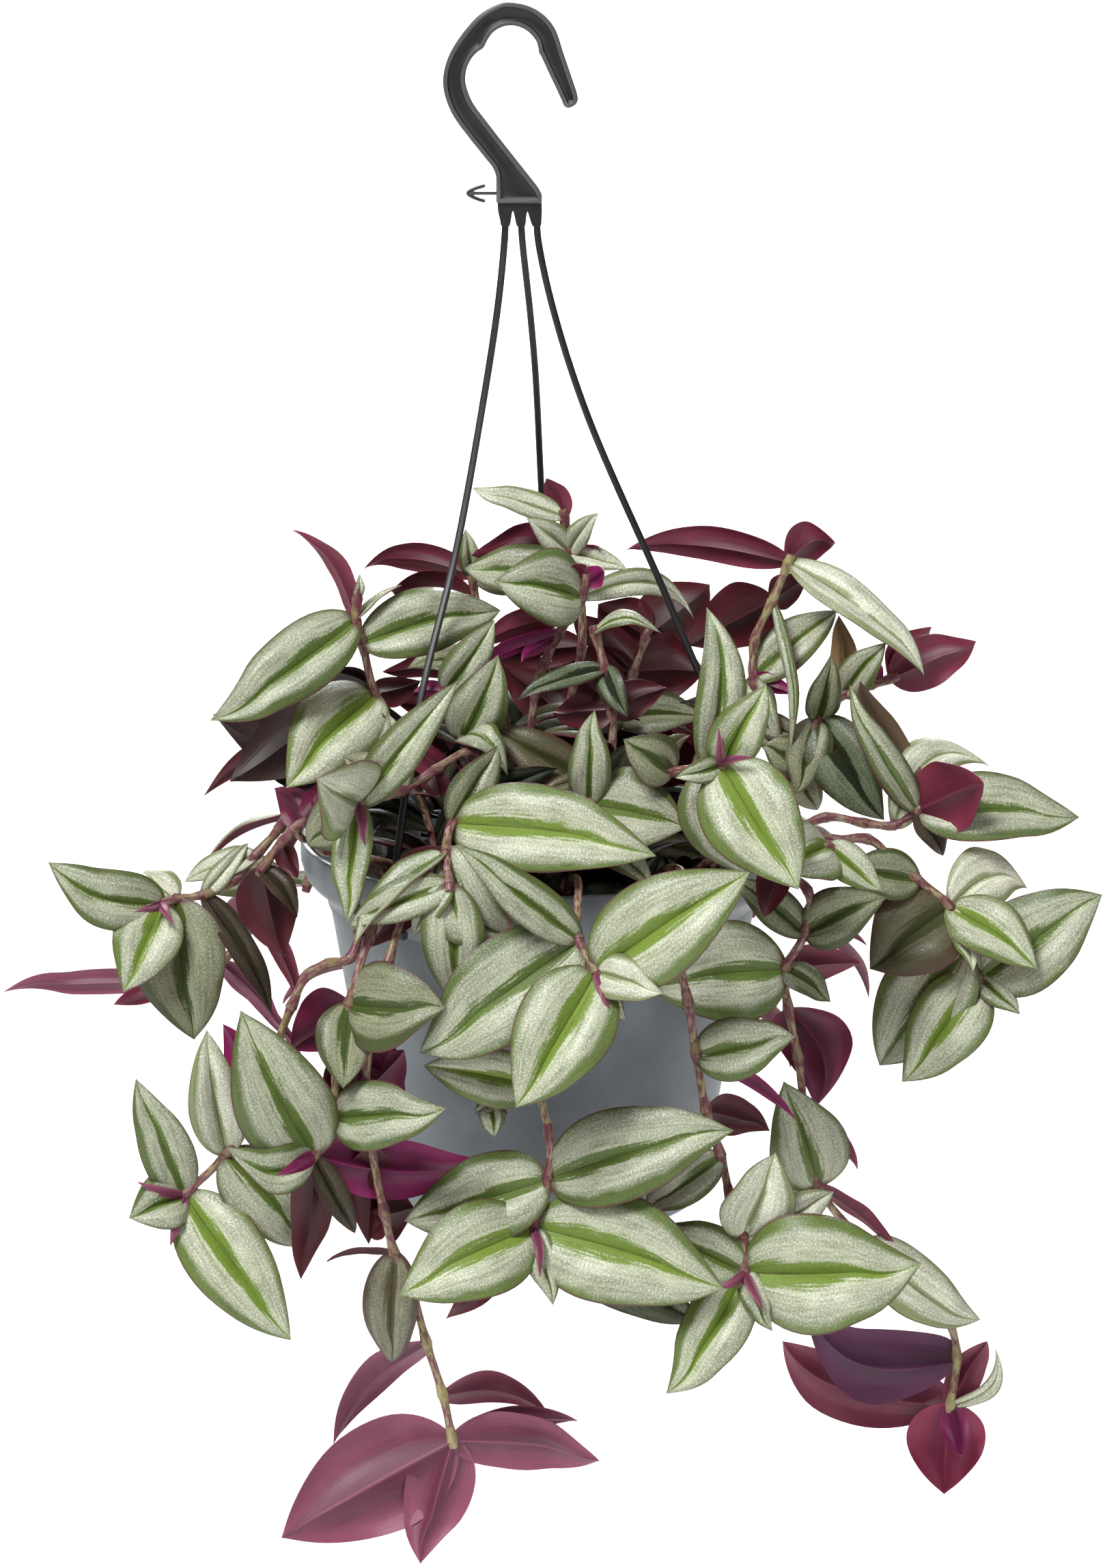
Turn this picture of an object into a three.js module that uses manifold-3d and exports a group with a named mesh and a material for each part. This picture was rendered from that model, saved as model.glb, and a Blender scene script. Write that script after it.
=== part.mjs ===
// A zebra tradescantia in a 15 cm hanging pot: one moulded hanger, the pot, its soil and the leafy stems.
// Millimetres, +Z up, the front towards -Y. The origin is where the hook's bow rests on what carries it.
import * as THREE from "three";
import { mergeVertices } from "three/addons/utils/BufferGeometryUtils.js";
import Module from "manifold-3d";

const wasm = await Module();
wasm.setup();

// Driving sizes
const POT_X = 9.3; // the pot's axis, to the right of the hook's contact point
const RIM_TOP = -248;
const RIM_RADIUS = 75;
const POT_HEIGHT = 115;
const POT_SIDES = 28;
const WALL = 1.6;
const BASE_RADIUS = 50.6;
const SHELF_DROP = 21; // from the rim down to where the bowl meets the straight wall
const SHELF_RADIUS = 66;
const DRAIN_HOLES = 4;
const DRAIN_RADIUS = 3.5;
const DRAIN_RING = 30;
const SOIL_DROP = 16.5;
const SOIL_GAP = 0.4;
const ROOT_DEPTH = 12;
const HOOK_THICKNESS = 5;
const WEB_RECESS = 1.6;
const WEB_MARGIN = 1.7;
const STRAP_WIDTH = 2.1;
const STRAP_THICKNESS = 1.6;
const SLOT_RADIUS = 70.6;
const STEM_RADIUS = 1.5;
const STEM_SIDES = 4;
const STEM_END = 2.2;
const RING_SPACING = 27;
const SMOOTHING = 0.12; // what a fused shoot may lose in fine facets, less than the clearance
const BLADE_RIB = 1.3;
const CLEARANCE = 0.35;
const RIM_CREST = 66; // where a trailing stem bends over the rim

// Where the plant is looked at from, for points given as they appear from the front:
// millimetres to the right of the hook, millimetres below it, and the true depth Y.
const VIEW_PITCH = THREE.MathUtils.degToRad(14);
const VIEW_DISTANCE = 1400;
const VIEW_CENTRE = new THREE.Vector3(12.4, 0, -232.3);
const VIEW_RIGHT = 12.9; // the view's middle, seen from the hook
const VIEW_DROP = 234.8;
const SIGHT = new THREE.Vector3(0, Math.cos(VIEW_PITCH), -Math.sin(VIEW_PITCH));
const TO_VIEWER = SIGHT.clone().negate();
const VIEWER = VIEW_CENTRE.clone().addScaledVector(SIGHT, -VIEW_DISTANCE);
const VIEW_UP = new THREE.Vector3(0, Math.sin(VIEW_PITCH), Math.cos(VIEW_PITCH));

function seen(right, drop, y) {
  const ray = SIGHT.clone().multiplyScalar(VIEW_DISTANCE);
  ray.x += right - VIEW_RIGHT;
  ray.addScaledVector(VIEW_UP, VIEW_DROP - drop);
  return VIEWER.clone().addScaledVector(ray, (y - VIEWER.y) / ray.y);
}

// A point round the pot: 0 degrees is the front, 90 the right
function roundPot(degrees, radius, z) {
  const turn = THREE.MathUtils.degToRad(degrees);
  return new THREE.Vector3(POT_X + radius * Math.sin(turn), -radius * Math.cos(turn), z);
}

// Solids and geometry
function solidOf(geometry) {
  const bare = geometry.clone();
  bare.deleteAttribute("normal");
  bare.deleteAttribute("uv");
  const merged = mergeVertices(bare, 1e-4);
  const vertProperties = new Float32Array(merged.attributes.position.array);
  const triVerts = new Uint32Array(merged.index.array);
  return new wasm.Manifold(new wasm.Mesh({ numProp: 3, vertProperties, triVerts }));
}

function geometryOf(solid) {
  const mesh = solid.getMesh();
  const geometry = new THREE.BufferGeometry();
  geometry.setAttribute("position", new THREE.BufferAttribute(new Float32Array(mesh.vertProperties), 3));
  geometry.setIndex(new THREE.BufferAttribute(new Uint32Array(mesh.triVerts), 1));
  geometry.computeVertexNormals();
  return geometry;
}

function solidFromFaces(points, faces) {
  const geometry = new THREE.BufferGeometry().setFromPoints(points);
  geometry.setIndex(faces);
  return solidOf(geometry);
}

function lathe(profile) {
  const points = profile.map(([radius, z]) => new THREE.Vector2(radius, z));
  const geometry = new THREE.LatheGeometry(points, POT_SIDES);
  geometry.rotateX(Math.PI / 2);
  geometry.translate(POT_X, 0, 0);
  return solidOf(geometry);
}

function post(radius, bottom, top, sides, centre) {
  const geometry = new THREE.CylinderGeometry(radius, radius, top - bottom, sides);
  geometry.rotateX(Math.PI / 2);
  geometry.translate(centre.x, centre.y, (top + bottom) / 2);
  return solidOf(geometry);
}

// A bar of one section swept along points, its rings kept from twisting
function sweep(points, section, side) {
  const vertices = [];
  const faces = [];
  const count = section.length;
  let across = side.clone();
  points.forEach((point, i) => {
    const before = points[Math.max(i - 1, 0)];
    const after = points[Math.min(i + 1, points.length - 1)];
    const along = after.clone().sub(before).normalize();
    across = across.clone().addScaledVector(along, -across.dot(along)).normalize();
    const over = along.clone().cross(across);
    for (const [u, v] of section) {
      vertices.push(point.clone().addScaledVector(across, u).addScaledVector(over, v));
    }
    for (let k = 0; i > 0 && k < count; k += 1) {
      const a = (i - 1) * count + k;
      const b = (i - 1) * count + ((k + 1) % count);
      faces.push(a, b, b + count, a, b + count, a + count);
    }
  });
  const last = (points.length - 1) * count;
  for (let k = 1; k < count - 1; k += 1) {
    faces.push(0, k + 1, k, last, last + k, last + k + 1);
  }
  return solidFromFaces(vertices, faces);
}

function roundSection(radius, sides) {
  return Array.from({ length: sides }, (_, k) => {
    const turn = (2 * Math.PI * k) / sides;
    return [radius * Math.cos(turn), radius * Math.sin(turn)];
  });
}

// A smooth line through its points, with more rings where they lie far apart
function smoothLine(points) {
  const curve = new THREE.CatmullRomCurve3(points, false, "centripetal");
  const line = [points[0].clone()];
  for (let i = 1; i < points.length; i += 1) {
    const pieces = Math.ceil(points[i].distanceTo(points[i - 1]) / RING_SPACING);
    for (let k = 1; k <= pieces; k += 1) {
      line.push(curve.getPoint((i - 1 + k / pieces) / (points.length - 1)));
    }
  }
  return line;
}

// Hanger: the hook's outline as [right, drop] seen from the front, up its left side, round and back
const HOOK_LEFT = [[-4.5, 55], [-4.6, 46.2], [-5.6, 43.8]];
const HOOK_OUTSIDE = [[-12.5, 35.3], [-18.5, 26.7], [-21, 17.5], [-18.6, 8.2], [-11.4, -1.6],
  [-4.5, -6.4], [0.4, -7.2], [7.3, -5.3], [13.3, 0.5], [16.7, 9.9], [20.4, 20.7]];
const HOOK_TIP = [[20.9, 23], [20.1, 24.6], [18, 25.6], [16.5, 25.2]];
const HOOK_INSIDE = [[15.4, 23.7], [11.8, 15.8], [8.6, 8.4], [7.9, 5.6], [5.1, 2.2], [0, 0],
  [-5.4, 1.9], [-7.9, 5.4], [-9.9, 8], [-13.2, 12.5], [-13.9, 18], [-11.4, 24.8], [-3.9, 34.6]];
const HOOK_RIGHT = [[8.5, 50.3], [9.8, 52.8], [9.5, 55]];
const NECKS = [[-4.2, 54.6], [-2.6, 61.8], [-0.7, 61.8], [0, 58.2], [0.7, 57.1], [1.4, 58.2], [2.3, 61.8],
  [4.2, 61.8], [4.7, 58.2], [5.4, 57.1], [6.2, 58.2], [7.2, 61.8], [9.1, 61.8], [9.4, 54.6]];
const BARB = [[-4, 51.4], [-11, 51.2], [-11, 50.6], [-7.8, 49.6], [-8.2, 48.9], [-12.6, 50.2], [-13.9, 51.9],
  [-12.6, 53.6], [-8.2, 55.1], [-7.8, 54.3], [-11, 53.1], [-11, 52.7], [-4, 52.7]];

function frontOutline(corners) {
  return corners.map(([right, drop]) => {
    const point = seen(right, drop, 0);
    return new THREE.Vector2(point.x, point.z);
  });
}

function rounded(corners, pieces) {
  return new THREE.SplineCurve(frontOutline(corners)).getPoints(pieces);
}

function plate(outline, front, back) {
  const geometry = new THREE.ExtrudeGeometry(new THREE.Shape(outline), { depth: back - front, bevelEnabled: false });
  geometry.rotateX(Math.PI / 2);
  geometry.translate(0, back, 0);
  return solidOf(geometry);
}

function inset(outline, margin) {
  const count = outline.length;
  return outline.map((point, i) => {
    const before = outline[(i + count - 1) % count];
    const after = outline[(i + 1) % count];
    const along = after.clone().sub(before).normalize();
    return new THREE.Vector2(point.x + along.y * margin, point.y - along.x * margin);
  });
}

// The straps as [right, drop, y] below their necks, and where round the pot each one is held
const STRAPS = [
  { degrees: -38, from: [-1.65, 60], route: [[-2.2, 66, 0], [-9.3, 120, -11], [-17.1, 163.5, -24], [-28.4, 211, -43]] },
  { degrees: 176, from: [3.25, 60], route: [[3.6, 66, 0], [7.7, 111, 18], [10.4, 150, 36], [13.6, 206, 60]] },
  { degrees: 84, from: [8.15, 60], route: [[9.4, 66, 0], [23.9, 121, -2], [46.5, 173, -4], [61, 206.6, -6]] },
];
const TOE_WIDTH = 7;
const TOE_HEIGHT = 2.2;
const TOE_TOP = RIM_TOP - 15.6;

// An upright block at the straps' radius, set square to the rim
function block(width, thickness, bottom, top, degrees) {
  const geometry = new THREE.BoxGeometry(width, thickness, top - bottom);
  geometry.rotateZ(THREE.MathUtils.degToRad(degrees));
  const centre = roundPot(degrees, SLOT_RADIUS, (bottom + top) / 2);
  geometry.translate(centre.x, centre.y, centre.z);
  return solidOf(geometry);
}

function strap({ degrees, from, route }) {
  const foot = roundPot(degrees, SLOT_RADIUS, RIM_TOP + 6);
  const bends = [seen(from[0], from[1], 0), ...route.map((row) => seen(...row)), foot];
  const line = [...smoothLine(bends), roundPot(degrees, SLOT_RADIUS, RIM_TOP)];
  const around = roundPot(degrees + 90, 1, 0).sub(roundPot(0, 0, 0));
  const w = STRAP_WIDTH / 2;
  const t = STRAP_THICKNESS / 2;
  const bar = sweep(line, [[w, t], [-w, t], [-w, -t], [w, -t]], new THREE.Vector3(1, 0, 0).lerp(around, 0.5));
  const leg = block(STRAP_WIDTH, STRAP_THICKNESS, TOE_TOP - TOE_HEIGHT / 2, RIM_TOP + 1.5, degrees);
  return bar.add(leg).add(block(TOE_WIDTH, STRAP_THICKNESS + 0.8, TOE_TOP - TOE_HEIGHT, TOE_TOP, degrees));
}

function hanger() {
  const outline = [
    ...frontOutline(HOOK_LEFT), ...rounded(HOOK_OUTSIDE, 15), ...frontOutline(HOOK_TIP),
    ...rounded(HOOK_INSIDE, 17), ...frontOutline(HOOK_RIGHT),
  ];
  const half = HOOK_THICKNESS / 2;
  const web = inset(outline, WEB_MARGIN);
  let solid = plate(outline, -half, half);
  solid = solid.subtract(plate(web, -half - 1, -half + WEB_RECESS));
  solid = solid.subtract(plate(web, half - WEB_RECESS, half + 1));
  solid = solid.add(plate(frontOutline(NECKS), -1.3, 1.3)).add(plate(frontOutline(BARB), -0.8, 0.8));
  for (const row of STRAPS) {
    solid = solid.add(strap(row));
  }
  return solid;
}

// Pot: a straight tapered wall under a wider bowl-shaped rim, one moulding
const SHELF = [[SHELF_RADIUS, -SHELF_DROP], [68.4, -16.4], [73.2, -11.6], [75, -6.5]];

function pot() {
  const bottom = RIM_TOP - POT_HEIGHT;
  const outside = SHELF.map(([radius, drop]) => [radius, RIM_TOP + drop]);
  const inside = outside.map(([radius, z]) => [radius - WALL - 0.3, z + 1]).reverse();
  let solid = lathe([
    [0, bottom], [BASE_RADIUS, bottom], ...outside,
    [RIM_RADIUS, RIM_TOP], [RIM_RADIUS - 2, RIM_TOP],
    ...inside, [BASE_RADIUS - WALL, bottom + 2], [0, bottom + 2],
  ]);
  for (let i = 0; i < DRAIN_HOLES; i += 1) {
    solid = solid.subtract(post(DRAIN_RADIUS, bottom - 1, bottom + 3, 8, roundPot((360 * i) / DRAIN_HOLES, DRAIN_RING, 0)));
  }
  for (const { degrees } of STRAPS) {
    const width = STRAP_WIDTH + 2 * CLEARANCE;
    const thickness = STRAP_THICKNESS + 2 * CLEARANCE;
    solid = solid.subtract(block(width, thickness, TOE_TOP - 5, TOE_TOP + 7, degrees));
  }
  return solid;
}

function soil(roots) {
  const floor = RIM_TOP - POT_HEIGHT + 2 + SOIL_GAP;
  const top = RIM_TOP - SOIL_DROP;
  const wallAt = (z) => {
    const share = (z - (RIM_TOP - POT_HEIGHT + 1.5)) / (POT_HEIGHT - SHELF_DROP - 1.5);
    return BASE_RADIUS + share * (SHELF_RADIUS - BASE_RADIUS) - WALL - 0.3 - SOIL_GAP;
  };
  const edge = RIM_TOP - SHELF_DROP - 0.5;
  let solid = lathe([
    [0, floor], [wallAt(floor), floor], [wallAt(edge), edge], [wallAt(edge) - 2, top - 1.2],
    [30, top + 0.5], [0, top],
  ]);
  for (const root of roots) {
    solid = solid.subtract(post(STEM_RADIUS * 1.42 + CLEARANCE, top - ROOT_DEPTH - CLEARANCE, top + 3, 4, root));
  }
  return solid;
}

// Leaf blade: ovate with a drawn-out tip, arched along its length and folded a little at the midrib
const BLADE_STATIONS = [0.12, 0.35, 0.6, 0.85];
const SMALL_BLADE_STATIONS = [0.15, 0.42, 0.78];
const SMALL_BLADE = 20; // mm wide and under
const BLADE_ROOT = 0.8; // how far back into the stem a blade starts
const BLADE_ARCH = 0.07; // of its length, towards its upper face
const BLADE_FOLD = 0.16; // how far the edges stand up, of the half width

function bladeHalfWidth(along) {
  return (along ** 0.6 * (1 - along) ** 0.9) / 0.3644 / 2;
}

function blade({ node, tip, width, face, arch = BLADE_ARCH, fold = BLADE_FOLD }, grow = 0) {
  const along = tip.clone().sub(node).normalize();
  const base = node.clone().addScaledVector(along, -BLADE_ROOT);
  const reach = tip.clone().sub(base);
  const up = face.clone().addScaledVector(along, -face.dot(along)).normalize();
  const side = along.clone().cross(up);
  const points = [base];
  const small = width <= SMALL_BLADE;
  for (const share of small ? SMALL_BLADE_STATIONS : BLADE_STATIONS) {
    const centre = base.clone().addScaledVector(reach, share);
    centre.addScaledVector(up, 4 * arch * reach.length() * share * (1 - share));
    const half = width * bladeHalfWidth(share) + grow;
    const rib = BLADE_RIB / 2 + grow;
    const edge = (way) => centre.clone().addScaledVector(side, way * half).addScaledVector(up, fold * half);
    const middle = (way) => centre.clone().addScaledVector(up, way * rib);
    points.push(...(small ? [edge(-1), edge(1), middle(-1)] : [edge(-1), middle(1), edge(1), middle(-1)]));
  }
  points.push(tip);
  const corners = small ? 3 : 4;
  const faces = [];
  const last = points.length - 1;
  for (let k = 0; k < corners; k += 1) {
    const next = (k + 1) % corners;
    faces.push(0, 1 + next, 1 + k, last - corners + k, last - corners + next, last);
    for (let ring = 1; ring < last - corners; ring += corners) {
      const [a, b, c, d] = [ring + k, ring + next, ring + corners + next, ring + corners + k];
      faces.push(...(k < corners / 2 ? [a, b, c, a, c, d] : [a, b, d, b, c, d]));
    }
  }
  return solidFromFaces(points, faces);
}

// The upper face's direction of a leaf given as seen: 0 faces the viewer, 90 is edge on, 180 shows the
// underside; a positive turn rolls the upper face clockwise in the view
function faceOf(base, tip, degrees) {
  const along = tip.clone().sub(base).normalize();
  const front = TO_VIEWER.clone().addScaledVector(along, -TO_VIEWER.dot(along)).normalize();
  const side = along.clone().cross(front);
  const turn = THREE.MathUtils.degToRad(degrees);
  return front.multiplyScalar(Math.cos(turn)).addScaledVector(side, Math.sin(turn));
}

// Leafy stems seen in front. root: [degrees round the pot, radius]; over: the degrees where a trailing stem
// crosses the rim; stem: [right, drop, y] as seen; leaves: [stem point, tip right, tip drop, how much nearer
// than the stem point the tip is, width, turn, arch, fold].
const SHOOTS = [
  {
    name: "shoot_crown_left", root: [-52, 38],
    stem: [[-30, 232, -22], [-42, 207, -26], [-46, 191, -28], [-48, 184, -28], [-47.5, 177, -28]],
    leaves: [[3, -93, 215, 16, 22, 12], [2, -3, 181, 2, 21, -14], [3, -67, 156, -4, 9, 112], [1, -69.5, 236, 22, 24, 8],
      [1, -84, 237, -12, 21, 24], [1, -95, 238.5, -26, 12, 165], [3, -34, 173, -4, 5, -60], [4, -46.5, 170, 2, 3.4, 20]],
  },
  {
    name: "shoot_crown_back_left", root: [-120, 22],
    stem: [[-2, 215, 12], [-6, 198, 16], [-10, 182, 20], [-12, 170, 20]],
    leaves: [[3, -45.5, 168, 4, 10, 150, 0.12], [2, -37, 175, 10, 13, 160, 0.14], [1, -32, 199, 6, 14, 40],
      [3, -14, 156, 2, 7, 10]],
  },
  {
    name: "shoot_crown_centre", root: [-30, 12],
    stem: [[8, 204, -8], [11, 196, -9], [15, 188, -10], [20, 181, -12], [22, 177, -13], [23, 172, -13]],
    leaves: [[4, -5, 172, 12, 24, 10], [4, 57, 184, 0, 10, -30, 0.16], [5, 18.5, 167, 4, 6, 170], [5, 29, 168.5, 4, 7, 175],
      [3, -12, 191.5, 12, 10, 145], [2, -13, 200, 20, 7, 130], [2, 3, 197, 8, 10, 150]],
  },
  {
    name: "shoot_crown_pink", root: [20, 18],
    stem: [[31, 226, -26], [31, 212, -26], [29, 199, -24], [26, 188, -22]],
    leaves: [[3, 46.5, 188, 6, 7, -20, 0.16], [2, 36, 214, 10, 9, 20], [1, 13, 213, 8, 12, -160], [2, 2, 209, 10, 8, 30]],
  },
  {
    name: "shoot_crown_top", root: [-170, 16],
    stem: [[17, 214, 10], [22, 192, 6], [21, 172, 4], [18, 163, 4], [16.5, 152, 4]],
    leaves: [[4, -12, 143, -2, 9, 20, 0.04], [4, 11, 140, 0, 8, 172], [3, 5, 152.5, 8, 10, 10], [3, 27, 151, 8, 8, -10],
      [3, -12.5, 164, -6, 10, 140, 0.2], [2, -14.5, 168, -10, 18, 15], [2, 27, 161, 8, 6, -150, 0.2], [3, 36, 168.5, 6, 8, -15]],
  },
  {
    name: "shoot_crown_dark", root: [150, 20],
    stem: [[34, 214, 26], [38, 200, 32], [42, 189, 36]],
    leaves: [[2, 61.5, 173, -4, 20, -172], [2, 27, 179, -2, 18, 172], [1, 60, 200, -2, 20, -165], [1, 12, 200, -4, 16, 165],
      [0, 60, 214, 4, 16, -30], [0, 14, 216, 6, 14, 30]],
  },
  {
    name: "shoot_crown_right", root: [98, 30],
    stem: [[75, 215, 6], [75, 202, 8], [75.5, 190, 9], [81, 178, 10], [86, 166, 10]],
    leaves: [[4, 36, 162, -4, 11, 140, 0.16], [4, 100.5, 160, 2, 9, -160], [4, 128, 201, 16, 14, -28], [3, 55, 192, -8, 21, 170],
      [3, 92, 171, -6, 11, -165], [3, 86, 226, 12, 5, 70, 0.02], [1, 101, 181, -10, 13, -20], [1, 87, 207, 6, 7, -140]],
  },
  {
    name: "shoot_right_high", root: [88, 48],
    stem: [[88, 228, 0], [95, 215, 2], [103, 207, 4], [112, 204, 6], [118, 202, 6]],
    leaves: [[4, 144, 190.5, 0, 17, -170], [4, 130, 186, -8, 12, -150], [3, 110, 195, 6, 8, 170], [2, 116, 191, 8, 12, -10],
      [2, 101.5, 182.5, -4, 9, 170], [1, 99, 195, 10, 11, 10], [1, 115.5, 246, 12, 21, 10]],
  },
  {
    name: "shoot_right_arm", root: [72, 46], over: 79,
    stem: [[98, 245, -16], [110, 247, -16], [119, 247.5, -16], [126, 243, -16]],
    leaves: [[3, 105, 204, 2, 11, 30], [3, 146, 230, 12, 23, 176, 0.02], [3, 176, 245, 2, 23, -20], [2, 148, 229, -16, 17, -20],
      [3, 108, 203, -12, 15, -165], [3, 134, 257, 0, 8, -60]],
  },
  {
    name: "shoot_front_right_up", root: [32, 40],
    stem: [[22, 236, -40], [36, 234.5, -52], [50, 231, -64], [61, 229.5, -76], [65, 229, -80]],
    leaves: [[3, 60.5, 180, -14, 14, 6], [4, 79, 204, 6, 16, 8], [4, 89, 267.5, 18, 29, 6], [3, 73, 263, 0, 25, 14],
      [2, 35, 221, 4, 16, 10], [4, 65, 218, 6, 4, 60]],
  },
  {
    name: "shoot_right_small", root: [64, 50], over: 66,
    stem: [[88, 252, -52], [98, 254, -54]],
    leaves: [[1, 84, 261, 14, 22, 14], [1, 115, 268, 8, 12, -10], [0, 78, 276, 4, 13, 150]],
  },
  {
    name: "shoot_front_left_up", root: [-22, 44],
    stem: [[-8, 246, -50], [-18, 247, -66], [-20, 256, -78], [-19, 266, -86]],
    leaves: [[1, 45, 257, 16, 27, -12], [1, -4, 223, -8, 14, 15], [2, -48.5, 285, 10, 12, 50, 0.06, 0.6], [2, 8, 280, 4, 19, -10],
      [3, -30, 282, 0, 9, 20], [3, -17, 304, 0, 19, 4]],
  },
  {
    name: "shoot_front_centre_up", root: [8, 36],
    stem: [[21, 254, -44], [23, 246, -54], [24, 241, -60]],
    leaves: [[2, 26, 212, 2, 13, 4], [2, 61, 250, 8, 28, -12], [1, 44, 267, 14, 13, -20], [2, 20, 238.5, 4, 4, 160]],
  },
  {
    name: "shoot_left_inner", root: [-40, 24],
    stem: [[-8, 240, -34], [-15, 221, -38], [-20, 206, -38]],
    leaves: [[2, -5, 184, 4, 13, 10], [1, -4, 195, 8, 18, 6], [1, -1, 232, 14, 9, -40, 0.3], [2, -30, 206, 4, 6, 150],
      [0, 4, 217, 4, 12, 4], [0, -40, 213, 0, 11, -150]],
  },
  {
    name: "shoot_left_front", root: [-29, 34],
    stem: [[-12, 225, -50], [-24, 231, -56], [-34, 237, -60], [-47, 241, -66]],
    leaves: [[3, -60, 233, 26, 27, 4], [3, -16.5, 203, 0, 14, 8], [3, -51, 278, 8, 12, 4], [3, -63, 254, -6, 17, 20],
      [2, -38, 213, -4, 11, 6], [2, -52, 226, -8, 13, 20], [1, -22, 239, 8, 9, 160]],
  },
  {
    name: "shoot_left_arm", root: [-72, 46], over: -72,
    stem: [[-68, 243, -34], [-72, 249, -34], [-79, 257, -36], [-86, 265, -38], [-95, 269, -40], [-104, 270.5, -42], [-108, 272, -44]],
    leaves: [[6, -143, 259, 8, 19, 14], [6, -120, 299, 16, 21, 4], [5, -98, 314, 6, 29, 4], [2, -101, 265, -4, 10, 30],
      [4, -74, 306, 4, 11, -40], [5, -114, 262, -8, 12, 20]],
  },
  {
    name: "shoot_left_dark", root: [-58, 52], over: -59,
    stem: [[-64, 246.5, -50], [-71, 253, -50], [-77, 261, -48]],
    leaves: [[2, -70, 288, -2, 19, 172], [2, -66, 276, 6, 8, -30, 0.07, 0.5], [1, -66, 264, 2, 7, 170], [0, -50, 231, 2, 11, 170],
      [0, -73, 236, -6, 9, 160]],
  },
  {
    name: "shoot_left_behind", root: [-92, 50], over: -98,
    stem: [[-72, 262, 0], [-78, 276, -4], [-90, 290, -8], [-104, 296, -10]],
    leaves: [[3, -157, 299, 0, 9, 160], [3, -123, 303, 6, 7, 165], [2, -70, 311, -2, 8, -160], [1, -66, 303, -6, 7, -160],
      [0, -96, 268, -8, 14, 20]],
  },
  {
    name: "shoot_left_low", root: [-45, 40], over: -47,
    stem: [[-47, 281, -82], [-50, 289, -86], [-57, 290.5, -88], [-63, 294, -88], [-68, 304, -86], [-73, 317, -84],
      [-80, 333, -80], [-88, 349, -78], [-101, 362, -78]],
    leaves: [[8, -116, 326, 4, 16, 8], [8, -118, 369, 10, 18, 10], [8, -68, 407, 12, 25, -4], [7, -63, 378, -4, 23, -6],
      [7, -94, 311, 4, 17, 10], [6, -89, 309, -6, 11, 172]],
  },
  {
    name: "shoot_front_left", root: [-36, 40], over: -33,
    stem: [[-44, 283, -84], [-50, 303, -86], [-54, 320, -86], [-55, 338, -86], [-61, 350, -88]],
    leaves: [[4, -83.5, 305, 10, 29, 4], [4, -88, 347, 12, 15, 45, 0.08, 0.45], [4, -75, 357, 8, 6, 150], [4, -65, 388, -2, 13, 176],
      [4, -48, 374, -6, 10, -20], [3, -20, 335, 10, 21, -10], [4, -9, 351, 0, 18, -168], [2, -48, 345, -4, 11, 172],
      [1, -68, 317, -4, 15, 172], [1, -20, 304, 16, 27, -8], [1, -52, 329, 6, 18, 10]],
  },
  {
    name: "shoot_front_long", root: [-26, 44], over: -28,
    stem: [[-38, 290, -88], [-43, 312, -90], [-45, 330, -90], [-43, 348, -86], [-39, 368, -82], [-36, 380, -80],
      [-30, 394, -78], [-26, 408, -76], [-21, 424, -75], [-18, 438, -75]],
    leaves: [[9, -71, 468, 14, 35, 172], [9, -28, 476, 8, 21, 178], [9, 27.5, 444, 8, 19, -165], [9, 20.5, 431.5, -2, 12, -150],
      [8, 12, 430, -8, 13, -150, 0.2], [7, -55, 438.5, -6, 15, 140, 0.1], [5, -37, 414, -6, 17, 8], [5, -57, 382, 4, 5, 120],
      [4, -30, 366, -6, 14, -170], [4, -50, 366, -8, 14, 170], [2, -33, 317, -4, 14, 174]],
  },
  {
    name: "shoot_front_tip", root: [6, 48], over: 8,
    stem: [[21, 283, -92], [26.5, 293, -97]],
    leaves: [[1, 1.5, 335, 14, 29, 4], [1, 74, 262, 2, 30, -8], [0, -28.5, 318, 4, 31, 10], [0, -17, 254, 8, 17, 10],
      [1, 47, 299.5, 12, 14, -8], [1, 35.5, 308, 2, 7, 10]],
  },
  {
    name: "shoot_front_hanging", root: [-6, 40], over: -7,
    stem: [[-1, 282, -84], [2, 305, -84], [8, 328, -85], [12, 344, -86], [11.5, 357, -88], [7, 372, -90]],
    leaves: [[5, -34.5, 393, 12, 29, 6], [5, 66, 391, 12, 34, -4], [4, 69, 342, 10, 28, -10], [4, -33, 370, 0, 27, 14],
      [5, 13, 396, 12, 10, 4], [5, -20, 400, -8, 15, 176], [5, 59, 401, -10, 14, -20], [2, -27, 322, -2, 19, 12]],
  },
  {
    name: "shoot_front_bud", root: [-15, 52], over: -17,
    stem: [[-10, 285, -82], [-8, 310, -82], [-6, 334, -83]],
    leaves: [[2, -5, 344, 4, 8, 6], [2, -11, 337, 2, 5, 20], [2, -1, 337, 0, 4, 170]],
  },
  {
    name: "shoot_front_right", root: [34, 52], over: 33,
    stem: [[52, 288, -84], [55, 303, -86], [57.5, 319, -86], [60.5, 336, -86], [65, 350, -86], [68, 363, -87],
      [72, 375, -88], [72.5, 386, -90]],
    leaves: [[7, 127, 383, 10, 36, -4], [7, 48, 423.5, 10, 20, 4], [7, 81, 404, 12, 9, -6], [7, 44, 371, -6, 19, 8],
      [6, 82, 349, 4, 19, 4], [4, 41, 368, 0, 14, 14], [2, 88, 313, 4, 19, -10], [2, 88, 338, -2, 7, -130],
      [3, 80, 342, -8, 13, -170], [2, 70, 327, 2, 6, 10]],
  },
  {
    name: "shoot_right_hanging", root: [50, 48], over: 54,
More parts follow.
